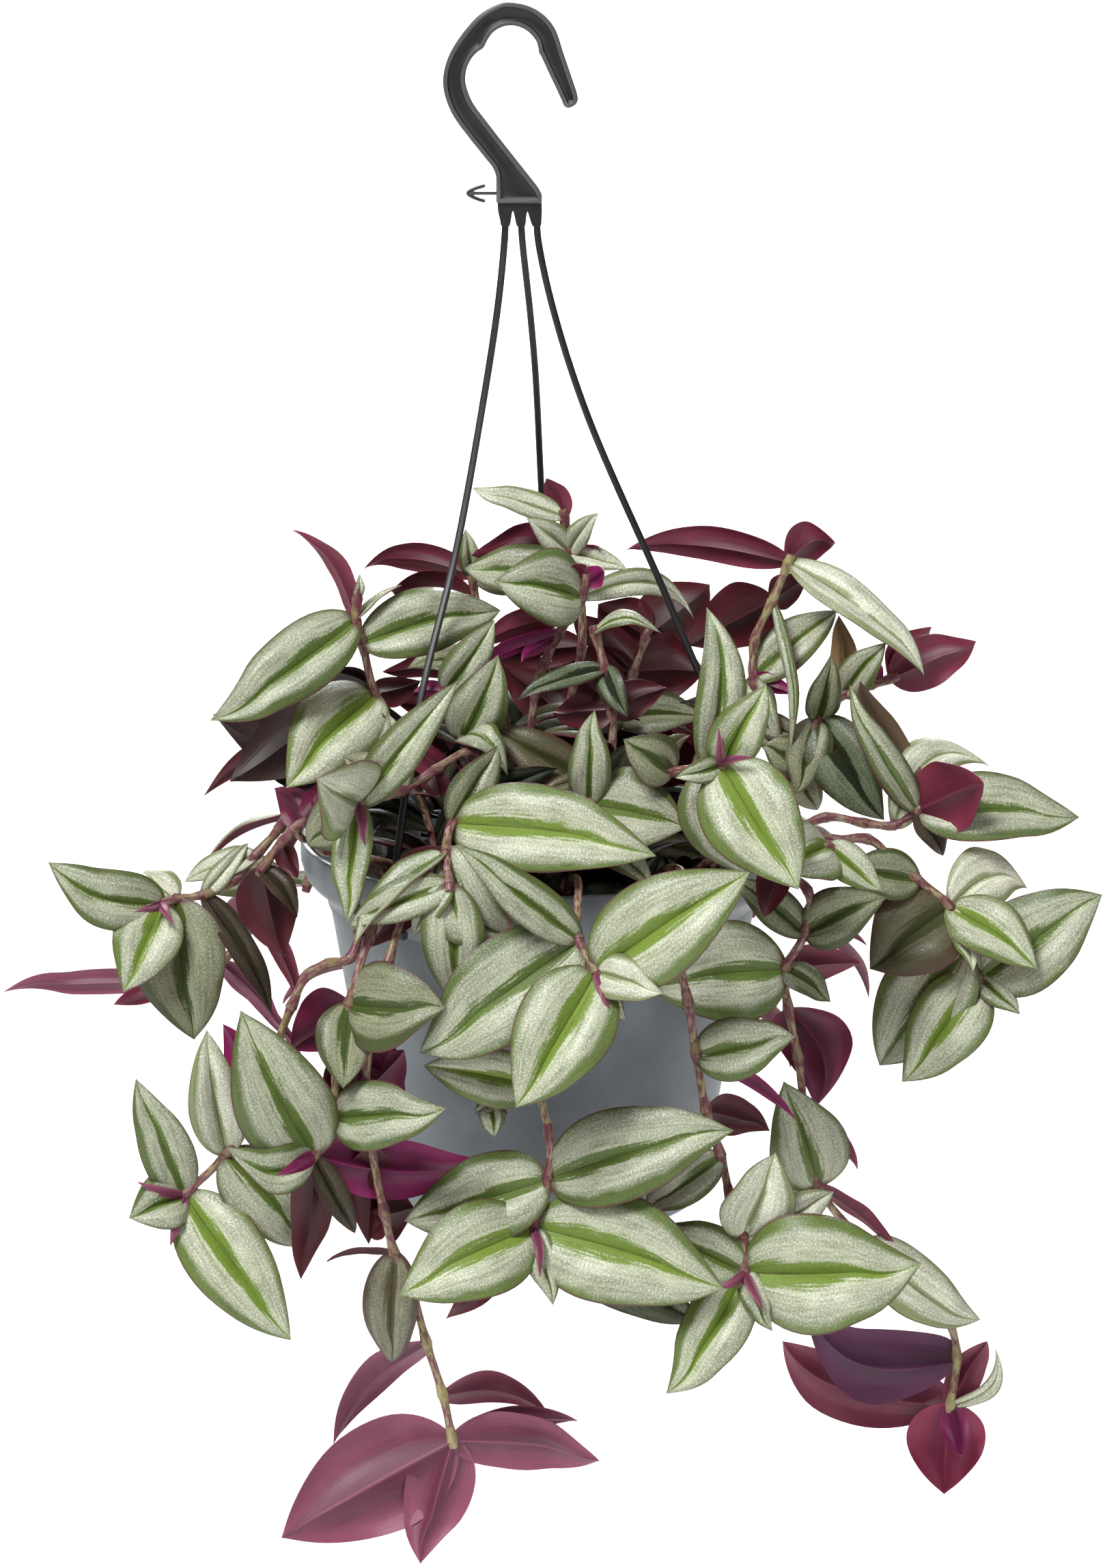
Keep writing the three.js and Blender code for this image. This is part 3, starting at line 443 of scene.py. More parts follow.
for degrees, start, route in STRAPS:
    around = way_round(degrees + 90)
    bends = [seen(*start, 0)] + [seen(*row) for row in route] + [round_pot(degrees, SLOT_RADIUS, RIM_TOP + 6)]
    line = np.vstack([smooth_line(bends), round_pot(degrees, SLOT_RADIUS, RIM_TOP)])
    lean = np.array([1.0, 0.0, 0.0]) + around * np.sign(around[0])
    sweep(hanger, line, strap_section, across=lean, handled=np.full((len(line), 3), STRAP_HIGHLIGHT))
    low = RIM_TOP - FOOT_DROP
    leg = np.array([round_pot(degrees, SLOT_RADIUS, z) for z in (low - FOOT_HEIGHT / 2, RIM_TOP + 1.5)])
    sweep(hanger, leg, strap_section, across=around)
    toe = np.array([round_pot(degrees, SLOT_RADIUS, z) for z in (low - FOOT_HEIGHT, low)])
    sweep(hanger, toe, rounded_section(FOOT_WIDTH, STRAP_THICKNESS + 0.8, 0.5), across=around)
hanger.build("hanger_moulding", [hanger_plastic], "hanger", "hanger_plastic", sharp=40)
print("hanger points:", hanger.count)

# %% [markdown]
# ## Grey polypropylene for the pot
# The pot is the same kind of moulding in a blue-grey, a little glossier where the mould was polished. Light
# from the front leaves a broad soft sheen down its wall. The wall also has faint flow marks, so its tone
# isn't quite even.

# %% Build the pot
# the third colour is the painted highlight along the pot's edges
pot_plastic = satin_plastic("grey_polypropylene", "#646c71", "#737c82", "#8b949a", 0.48, 0.03)
POT_SIDES = 144
POT_FLOOR = 2.0
SLOT_REACH = (20.6, 8.6)  # where a slot's cut starts and ends under the rim
DRAIN_HOLES = 4
DRAIN_RADIUS = 3.5
DRAIN_RING = 30.0
DRAIN_SIDES = 24


def lathe(pieces, profile, sides):
    """Turns a closed profile of (radius, z) about the pot's axis. It starts and ends on the axis."""
    turns = np.arange(sides) * 2 * math.pi / sides
    ring = np.stack([np.sin(turns), -np.cos(turns)], 1)
    points = [[POT_X, 0, profile[0][1]]]
    for radius, z in profile[1:-1]:
        points.extend([POT_X + radius * x, radius * y, z] for x, y in ring)
    points.append([POT_X, 0, profile[-1][1]])
    faces = [(a + 1, b + 1, c + 1, d + 1) for a, b, c, d in grid_faces(len(profile) - 2, sides, closed=True)]
    last = len(points) - 1
    for k in range(sides):
        n = (k + 1) % sides
        faces.append((0, 1 + n, 1 + k))
        faces.append((last, last - sides + k, last - sides + n))
    pieces.add(points, faces)


def arc(centre, radius, start, end, steps=5):
    """Points of (radius, z) on an arc, angles in degrees."""
    angles = np.radians(np.linspace(start, end, steps))
    return [(centre[0] + radius * math.cos(a), centre[1] + radius * math.sin(a)) for a in angles]


def cut(piece, cutters):
    """Cuts closed pieces out of another and applies the cut."""
    for cutter in cutters:
        step = piece.modifiers.new("cut", "BOOLEAN")
        step.operation = "DIFFERENCE"
        step.solver = "EXACT"
        step.object = cutter
    bpy.context.view_layer.update()
    shaped = piece.evaluated_get(bpy.context.evaluated_depsgraph_get())
    mesh = bpy.data.meshes.new_from_object(shaped)
    piece.modifiers.clear()
    piece.data = mesh
    for cutter in cutters:
        bpy.data.objects.remove(cutter)


def cutter(line, section, across):
    tool = Pieces()
    sweep(tool, np.array(line), section, across=across)
    return stand("cutter", tool.mesh("cutter"))


bottom = RIM_TOP - POT_HEIGHT
bowl = smooth_line([(r, 0.0, RIM_TOP + z) for r, z in SHELF], step=1.0)[:, [0, 2]]
ledge = [(SHELF[0][0], RIM_TOP + SHELF[0][1] - 0.5), (SHELF[0][0] + 0.45, RIM_TOP + SHELF[0][1] - 0.25)]
bowl_inside = bowl - np.array([WALL + 0.3, -1.0])
wall_foot = arc((BASE_RADIUS - 1.5, bottom + 1.5), 1.5, -90, 0)
pot_profile = [(0, bottom), *wall_foot, *ledge, *(bowl + np.array([0.45, 0.0]))[:2], *bowl[2:]]
pot_profile += arc((RIM_RADIUS - 0.7, RIM_TOP - 0.7), 0.7, 0, 90, 4)
pot_profile += arc((RIM_RADIUS - 1.4, RIM_TOP - 0.6), 0.6, 90, 180, 4)
pot_profile += [*bowl_inside[::-1], (BASE_RADIUS - WALL, bottom + POT_FLOOR), (0, bottom + POT_FLOOR)]
pot = Pieces()
lathe(pot, pot_profile, POT_SIDES)
pot_piece = pot.build("pot_moulding", [pot_plastic], "pot", "pot_plastic", sharp=40)
holes = []
for i in range(DRAIN_HOLES):
    spot = round_pot(360 * i / DRAIN_HOLES, DRAIN_RING, 0)
    drain = [spot + [0, 0, z] for z in (bottom - 1, bottom + POT_FLOOR + 1)]
    holes.append(cutter(drain, circle(DRAIN_SIDES, DRAIN_RADIUS), (1, 0, 0)))
for degrees, _, _ in STRAPS:
    around = way_round(degrees + 90)
    slot_line = [round_pot(degrees, SLOT_RADIUS, RIM_TOP - z) for z in SLOT_REACH]
    slot_section = rounded_section(STRAP_WIDTH + 2 * CLEARANCE, STRAP_THICKNESS + 2 * CLEARANCE, 0.2, 1)
    holes.append(cutter(slot_line, slot_section, around))
cut(pot_piece, holes)
print("pot faces:", len(pot_piece.data.polygons))

# %% [markdown]
# ## Peat soil
# The pot is filled with dark moist peat, which is crumbly and takes up almost all light. The surface is a
# disc of rings whose heights are drawn at random in patches, and loose crumbs lie on it. The shader only
# needs a dark brown with some paler fibres, and a rough bump at the size of the crumbs.

# %% Soil material and shape
SOIL_SEED = 7
SOIL_SIDES = 96
SOIL_RADIUS = 63.2
SOIL_EDGE = RIM_TOP - 21.5
SOIL_FOOT = 2.4  # how far over the pot's bottom the soil starts
CRUMBS = 420
peat, tree, shader = new_material("moist_peat", 0.95)
place = add(tree, "TexCoord", output="Object")
lumps = add(tree, "TexNoise", {"Vector": place, "Scale": 260.0, "Detail": 6.0, "Roughness": 0.7})
pale = add(tree, "MapRange", (lumps, 0.38, 0.72))
finish_skin(tree, shader, linear("#0b0807"), ((pale, "#3a2a20"),), lumps, 1.0, 0.8)

rng = np.random.default_rng(SOIL_SEED)
soil_top = RIM_TOP - SOIL_DROP
soil = Pieces()
soil_foot = bottom + SOIL_FOOT
soil_profile = [(0, soil_foot), (BASE_RADIUS - WALL - 0.7, soil_foot), (SOIL_RADIUS, SOIL_EDGE)]
soil_profile += [(r, soil_top + 0.5 * (1 - r / SOIL_RADIUS)) for r in np.linspace(SOIL_RADIUS - 1.5, 3, 26)]
soil_profile.append((0, soil_top))
lathe(soil, soil_profile, SOIL_SIDES)
surface = soil.points[0]
top_rows = surface[:, 2] > SOIL_EDGE + 0.1
wave = np.zeros(len(surface))
for size in (17.0, 7.0, 3.1):
    ways = rng.normal(size=(6, 2)) / size
    for way in ways:
        wave += 0.035 * size * np.sin(surface[:, :2] @ way * 2 * math.pi + rng.uniform(0, 6.28))
surface[:, 2] += np.where(top_rows, np.clip(wave, -1.6, 1.6), 0)
ball = [(1, 0, 0), (-1, 0, 0), (0, 1, 0), (0, -1, 0), (0, 0, 1), (0, 0, -1)]
ball_faces = [(0, 2, 4), (2, 1, 4), (1, 3, 4), (3, 0, 4), (2, 0, 5), (1, 2, 5), (3, 1, 5), (0, 3, 5)]
for _ in range(CRUMBS):
    radius = (SOIL_RADIUS - 4) * math.sqrt(rng.uniform())
    spot = round_pot(rng.uniform(0, 360), radius, soil_top + rng.uniform(-0.2, 0.9))
    crumb = np.array(ball) * rng.uniform(0.5, 1.9, (6, 1)) * rng.uniform(0.6, 1.3, 3)
    soil.add(crumb + spot, ball_faces)
soil.build("potting_soil", [peat], "soil", "soil", sharp=35)
print("soil points:", soil.count)

# %% [markdown]
# ## Leaf finishes
# A zebrina leaf has air-filled cells under its skin in two bands. They scatter light like frost and glint
# one by one: that is the silver, and here its glints are painted highlights. Veins comb it lengthwise. Between
# and outside the bands the leaf is green, its edge is tinged with purple, and below it is wine red. Every
# point of a leaf carries how far across and along it lies, in shares and in millimetres, and its leaf's own
# shades, young ones lime and old ones dull, with darker copies for leaves deep in the crown as painted shade.
# It also carries how strongly the leaf shines, and the lean that makes its green margin wider on one side.
# So two materials serve all leaves, one for each side.

# %% Shades by leaf
# d, j and k are darker copies of the silver leaf, and o a near-black one: painted shade for leaves deep in the
# crown
UPPER_SHADES = {  # silver band, stripe in the middle, outer margin, the stripe's share of the width, shine
    "v": ("#b0b49d", "#728a34", "#5f7235", 0.27, 0.5),
    "s": ("#a4a892", "#586d2c", "#52622e", 0.22, 0.5),
    "p": ("#c0c2af", "#8f9a70", "#7f895c", 0.14, 0.5),
    "d": ("#84876c", "#3f4f1e", "#434d28", 0.26, 0.5),
    "g": ("#767560", "#4f4a33", "#4a3d30", 0.22, 0.5),
    "n": ("#57543e", "#3b3f20", "#4a3a2a", 0.3, 0.4),
    "k": ("#433c30", "#2a2517", "#3a2a20", 0.3, 0.3),
    "j": ("#626c54", "#22281a", "#30371f", 0.34, 0.4),
    "o": ("#2f342a", "#191e0f", "#1b1d12", 0.2, 0.08),
}
# b and k are darker copies of the wine red, and o a near-black one: painted shade for leaves deep in the crown
UNDER_SHADES = {  # by the rib, and towards the edge
    "u": ("#501326", "#782c42"),
    "m": ("#540c38", "#861a58"),
    "b": ("#330c13", "#541a24"),
    "q": ("#3d0a20", "#6a143b"),
    "x": ("#3b1231", "#572448"),
    "l": ("#5f2a3f", "#8d4c64"),
    "r": ("#5f1f36", "#81384f"),
    "h": ("#641236", "#8f2c4c"),
    "w": ("#3a2a1c", "#5b4630"),
    "k": ("#1c1311", "#33211f"),
    "o": ("#220a0e", "#36141a"),
    "y": ("#574226", "#85704a"),
}

# %% Places on a leaf
def leaf_places(tree, patch_scale, patch_detail, vein_scale):
    """A spot's place in mm, how far sideways, across and along the leaf it lies, its patches and veins."""
    names = ("leaf_share", "leaf_mm", "leaf_vein")
    share, place, by_veins = (add(tree, "Attribute", (), "Vector", attribute_name=n) for n in names)
    sideways, along, _ = add(tree, "SeparateXYZ", (share,)).node.outputs
    across = add(tree, "Math", (sideways,), operation="ABSOLUTE")
    patch = add(tree, "TexNoise", {"Vector": place, "Scale": patch_scale, "Detail": patch_detail})
    by_veins = add(tree, "Mapping", {"Vector": by_veins, "Scale": vein_scale})
    veins = add(tree, "TexNoise", {"Vector": by_veins, "Scale": 1.0, "Detail": 4.0})
    return place, sideways, across, along, patch, veins


# %% The upper side: where the silver lies
CELL_MM = 0.6  # the glinting cells are 0.2 mm wide, too fine to show, so they are drawn this coarse
smooth = {"interpolation_type": "SMOOTHSTEP"}
upper_side, tree, shader = new_material("leaf_upper_side", 0.36, ior=1.44)
place, sideways, across, along, patch, veins = leaf_places(tree, 0.12, 2.0, (0.9, 0.07, 1.0))
traits = add(tree, "Attribute", (), "Vector", attribute_name="leaf_traits")
stripe, shine, lean = add(tree, "SeparateXYZ", (traits,)).node.outputs
tree.links.new(shine, shader.inputs["Specular IOR Level"])
cells = {"Vector": place, "Scale": 1 / CELL_MM, "Detail": 2.0, "Roughness": 0.6}
cells = add(tree, "TexNoise", cells)

feather = across  # the bands' borders run out in feathery streaks
for noise, part in ((veins, 0.5), (patch, 0.1), (cells, 0.12)):
    feather = add(tree, "Math", (noise, part, feather), operation="MULTIPLY_ADD")
feather = add(tree, "Math", (feather, 0.36), operation="SUBTRACT")
narrows = add(tree, "MapRange", (along, 0.0, 1.0, 1.15, 0.2))
reach = add(tree, "Math", (stripe, narrows), operation="MULTIPLY")
from_stripe = add(tree, "Math", (feather, reach), operation="SUBTRACT")
silver = add(tree, "MapRange", (from_stripe, -0.05, 0.06), **smooth)
outer = add(tree, "Math", (patch, 0.3, across), operation="MULTIPLY_ADD")
outer = add(tree, "Math", (sideways, lean, outer), operation="MULTIPLY_ADD")
bounds = (
    (outer, 0.82, 1.04, 1.0, 0.0),
    (along, 0.9, 1.0, 1.0, 0.4),
    (along, 0.0, 0.1, 0.0, 1.0),
    (veins, 0.34, 0.54, 0.8, 1.0),
)
for bound in bounds:
    factor = add(tree, "MapRange", bound, **smooth)
    silver = add(tree, "Math", (silver, factor), operation="MULTIPLY")

# %% The upper side: its colours
names = ("leaf_silver", "leaf_middle", "leaf_margin")
frost, middle, margin = (add(tree, "Attribute", (), "Vector", attribute_name=n) for n in names)
# painted highlight: the glints' colour is the silver made 1.7 times as bright
painted_glint_colour = add(tree, "VectorMath", {0: frost, "Scale": 1.7}, operation="SCALE")
tones = ((patch, 0.3, 0.7, 0.8, 1.12), (across, 0.15, 0.9, 1.2, 0.82), (veins, 0.36, 0.64, 0.84, 1.14))
for tone in tones:
    tone = add(tree, "MapRange", tone)
    frost = add(tree, "VectorMath", {0: frost, "Scale": tone}, operation="SCALE")
green = {"Factor": add(tree, "MapRange", (across, 0.2, 0.5)), "A": middle, "B": margin}
green = add(tree, "Mix", green, "Result", data_type="RGBA")
vein = add(tree, "MapRange", (veins, 0.5, 0.72, 0.0, 0.55))
green = {"Factor": vein, "A": green, "B": linear("#34421a")}
green = add(tree, "Mix", green, "Result", data_type="RGBA")
dips = add(tree, "MapRange", (cells, 0.34, 0.5, 0.36, 0.0), **smooth)
# painted glints on the brightest cells, strongest on the silver
painted_glint = add(tree, "MapRange", (cells, 0.54, 0.65), **smooth)
on_silver = add(tree, "MapRange", (silver, 0.0, 1.0, 0.1, 0.7))
painted_glint = add(tree, "Math", (painted_glint, on_silver), operation="MULTIPLY")

# %% The upper side: its brown rib, its purple lines and its gloss
rib = add(tree, "MapRange", (across, 0.006, 0.024, 0.65, 0.0))
rib_end = add(tree, "MapRange", (along, 0.2, 0.7, 1.0, 0.0))
rib = add(tree, "Math", (rib, rib_end), operation="MULTIPLY")
edge_line = add(tree, "MapRange", (across, 0.945, 0.985, 0.0, 0.7), **smooth)
root_line = add(tree, "MapRange", (along, 0.02, 0.07, 0.7, 0.0), **smooth)
purple = add(tree, "Math", (edge_line, root_line), operation="MAXIMUM")
gloss = add(tree, "MapRange", (cells, 0.35, 0.65, 0.45, 0.27))
tree.links.new(gloss, shader.inputs["Roughness"])
relief = add(tree, "Math", (veins, 0.7, cells), operation="MULTIPLY_ADD")
coats = ((silver, frost), (dips, green), (painted_glint, painted_glint_colour), (rib, "#44351f"), (purple, "#56202f"))
finish_skin(tree, shader, green, coats, relief, 0.7, 0.22)

# %% The underside
under_side, tree, shader = new_material("leaf_underside", 0.48, ior=1.44)
sheen = {"Sheen Weight": 0.05, "Sheen Roughness": 0.4, "Sheen Tint": linear("#e8b7c4")}
for socket, value in sheen.items():
    shader.inputs[socket].default_value = value
_, _, across, along, patch, veins = leaf_places(tree, 0.07, 3.0, (0.8, 0.04, 1.0))
names = ("leaf_under", "leaf_under_edge")
by_rib, by_edge = (add(tree, "Attribute", (), "Vector", attribute_name=n) for n in names)
outward = across
for value, part in ((along, 0.45), (patch, 0.8), (veins, 0.5)):
    outward = add(tree, "Math", (value, part, outward), operation="MULTIPLY_ADD")
outward = add(tree, "MapRange", (outward, 0.75, 1.85), **smooth)
rib = add(tree, "MapRange", (across, 0.02, 0.06, 0.7, 0.0), **smooth)
outward = add(tree, "Math", (outward, rib), operation="MAXIMUM")
finish_skin(tree, shader, by_rib, ((outward, by_edge),), veins, 0.6, 0.2)

# %% The stems
stem_skin, tree, shader = new_material("stem_skin", 0.42, ior=1.44)
place = add(tree, "Attribute", (), "Vector", attribute_name="stem_mm")
redness = add(tree, "SeparateXYZ", (place,), "Z")
dashes = add(tree, "Mapping", {"Vector": place, "Scale": (0.9, 0.28, 1.0)})
dashes = add(tree, "TexNoise", {"Vector": dashes, "Scale": 1.0, "Detail": 3.0})
patch = add(tree, "TexNoise", {"Vector": place, "Scale": 0.06, "Detail": 1.0})
coats = (
    (add(tree, "MapRange", (patch, 0.4, 0.6)), "#959060"),
    (add(tree, "MapRange", (dashes, 0.43, 0.55, 0.0, 0.88)), "#6d3040"),
    (add(tree, "MapRange", (redness, 0.0, -1.0)), "#a3a068"),
    (redness, "#5e2138"),
)
finish_skin(tree, shader, linear("#a38d7c"), coats, dashes, 0.5, 0.2)

# %% [markdown]
# ## The shape of a leaf
# A leaf is a sheet of points: rows from root to tip and columns from edge to edge. Its half width follows a
# curve that rises fast and runs out in a point. It arches along its length, most near the tip, folds up a
# little at the rib, bulges between rib and edge, and its edges wave. The underside is the same sheet set
# half a millimetre lower, and a narrow strip joins the two along the edge.

# %% Leaf shape
LEAF_GRID = (27, 13)  # rows and columns
LEAF_THICKNESS = 0.5
EDGE_THICKNESS = 0.22
BLADE_ROOT = 0.8
NECK = 1.2  # half the width where the blade meets its sheath
WIDTH_TOP = 0.3676  # the highest value of the width curve below


def leaf_surface(node, tip, width, face, arch, fold, bend, rng, grid=LEAF_GRID):
    """The upper side's points, the way that it faces, and each point's place for the shaders.

    The places are shares of the leaf, millimetres, and millimetres between veins that meet at both ends."""
    direction = (tip - node) / np.linalg.norm(tip - node)
    root = node - direction * BLADE_ROOT
    reach = tip - root
    length = np.linalg.norm(reach)
    up = face - direction * face.dot(direction)
    up /= np.linalg.norm(up)
    side = np.cross(direction, up)
    rows, columns = grid
    s = (0.5 - 0.5 * np.cos(np.linspace(0, math.pi, rows)))[:, None]  # along the leaf
    v = np.linspace(-1, 1, columns)[None, :]  # from edge to edge

    # half the width: a curve with a drawn-out point and a narrow neck
    half = width * s**0.58 * (1 - s) ** 0.92 / WIDTH_TOP / 2
    half = half * (1 - 0.35 * np.exp((s - 1) / 0.035))
    half = np.sqrt(half**2 + (NECK * np.clip(1 - s / 0.1, 0, 1)) ** 2)

    # it arches, bends to one side and has a tip that strays
    bow = 4 * s * (1 - s) * (0.65 + 0.7 * s)
    arch = arch * rng.uniform(0.9, 1.5)
    sway = (bend + rng.uniform(-0.03, 0.03)) * length * bow
    sway = sway + rng.uniform(-0.03, 0.03) * length * np.sin(math.pi * np.clip((s - 0.65) / 0.35, 0, 1))

    # its edges wave, each half bulges between rib and edge, and the whole twists a little
    turns, start = rng.uniform(1.2, 2.3), rng.uniform(0, 6.28, 2)
    beat = np.sin(2 * math.pi * turns * s + np.where(v < 0, start[0], start[1]))
    wave = rng.uniform(0.04, 0.1) * half * v**2 * beat
    bulge = rng.uniform(0.16, 0.3) * half * np.sin(math.pi * np.abs(v)) * np.sin(math.pi * s) ** 0.5
    twist = math.radians(rng.uniform(-10, 10)) * (s - 0.3)
    groove = 0.3 * np.exp(-((v * half / 0.55) ** 2))
    crease = fold * half * (np.sqrt(v**2 + 0.04) - 0.2)
    height = crease + bulge - groove + wave + half * v * np.sin(twist)

    centre = root + reach * s[..., None] + (up * (arch * length) * bow[..., None]) + side * sway[..., None]
    top = centre + side * (half * v)[..., None] + up * height[..., None]
    drift = rng.uniform(0, 900, 2)
    flat = 0 * (s + v)
    places = {
        "leaf_share": (v + flat, s + flat, flat),
        "leaf_mm": (half * v + drift[0], length * s + flat + drift[1], flat),
        "leaf_vein": (width / 2 * v + flat + drift[0], length * s + flat + drift[1], flat),
    }
    return top, up, {name: np.stack(place, -1).reshape(-1, 3) for name, place in places.items()}


def leaf(pieces, form, shades, rng, grid=LEAF_GRID):
    """Adds a leaf with its two sides. Its form goes on to leaf_surface."""
    top, up, values = leaf_surface(*form, rng, grid)
    rows, columns = grid
    v = np.linspace(-1, 1, columns)[None, :, None]
    low = top - up * (EDGE_THICKNESS + (LEAF_THICKNESS - EDGE_THICKNESS) * (1 - v**2))
    values.update(shades)
    faces = grid_faces(rows, columns)
    count = rows * columns
    first = pieces.count
    pieces.add(top.reshape(-1, 3), faces[:, ::-1], 0, **values)
    pieces.add(low.reshape(-1, 3), faces, 1, **values)
    border = [(k, 0) for k in range(rows)] + [(rows - 1, k) for k in range(1, columns)]
    border += [(k, columns - 1) for k in range(rows - 2, -1, -1)]
    border += [(0, k) for k in range(columns - 2, 0, -1)]
    ring = [first + i * columns + j for i, j in border]
    for a, b in zip(ring, ring[1:] + ring[:1]):
        pieces.faces.append((b, a, a + count, b + count))
        pieces.slots.append(1)


# %% [markdown]
# ## Stems and sheaths
# A stem is a jointed rod about 3 mm thick, a little swollen at each joint. Every leaf starts in a short
# sheath that wraps the stem below it. The stem is a swept circle whose size swells near each joint, and a
# sheath is a second, slightly wider tube that flares towards the leaf. Most joints are wine red, but on a few
# shoots they stay yellow-green.

# %% Stem and sheath
STEM_RADIUS = 1.4
STEM_SIDES = 10
STEM_END = 2.2
SWELL_REACH = 2.2
SHEATH_LENGTH = 6.5
GREEN_JOINTED = ("front_long", "crown_right", "right_hanging")


def stem(pieces, line, nodes, green_end=False):
    """Sweeps the stem, swollen and darker at its nodes, with a sheath below each."""
    steps = np.linalg.norm(np.diff(line, axis=0), axis=1)
    far = np.concatenate([[0], np.cumsum(steps)])
    red = np.interp(far / far[-1], (0.7, 0.95), (0.75, -0.9 if green_end else 0.75))
    near = np.min([np.linalg.norm(line - node, axis=1) for node in nodes], axis=0)
    swell = np.exp(-((near / SWELL_REACH) ** 2))
    around = np.arange(STEM_SIDES) * 2 * math.pi * STEM_RADIUS / STEM_SIDES
    tubes = [(range(len(line)), STEM_RADIUS * (0.88 + 0.28 * swell), red * swell)]
    for node in nodes:
        at = int(np.argmin(np.linalg.norm(line - node, axis=1)))
        rows = [k for k in range(at + 1) if far[at] - far[k] <= SHEATH_LENGTH]
        if len(rows) > 1:
            wide = STEM_RADIUS * np.linspace(0.95, 1.32, len(rows))
            tubes.append((rows, wide, 0.6 * red[rows]))
    for rows, radius, redness in tubes:
        rows = list(rows)
        place = np.stack([np.tile(around, len(rows)), np.repeat(far[rows], STEM_SIDES),
                          np.repeat(redness, STEM_SIDES)], 1)
        pieces.values.setdefault("stem_mm", []).append((pieces.count, place))
        sweep(pieces, line[rows], circle(STEM_SIDES), 2, scale=radius)


# %% [markdown]
# ## The shoots
# Each shoot is one leafy stem. Its root is given round the pot, with the angle where it crosses the rim if it
# does, then come the stem's joints as seen, and its leaves: the joint it grows from, where its tip is seen,
# how much nearer than the joint that tip is, the blade's width, and how it is turned: 0 shows its upper side
# and 180 its underside. Some rows go on with how much the leaf arches, folds at its rib and bends sideways,
# as shares of its size. The letters give each leaf's shade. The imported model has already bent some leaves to
# keep them clear of others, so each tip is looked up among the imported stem's corners. A plus sign marks a
# leaf that isn't there, or lies elsewhere: young sheaths, fillers, and leaves that pass behind a strap.

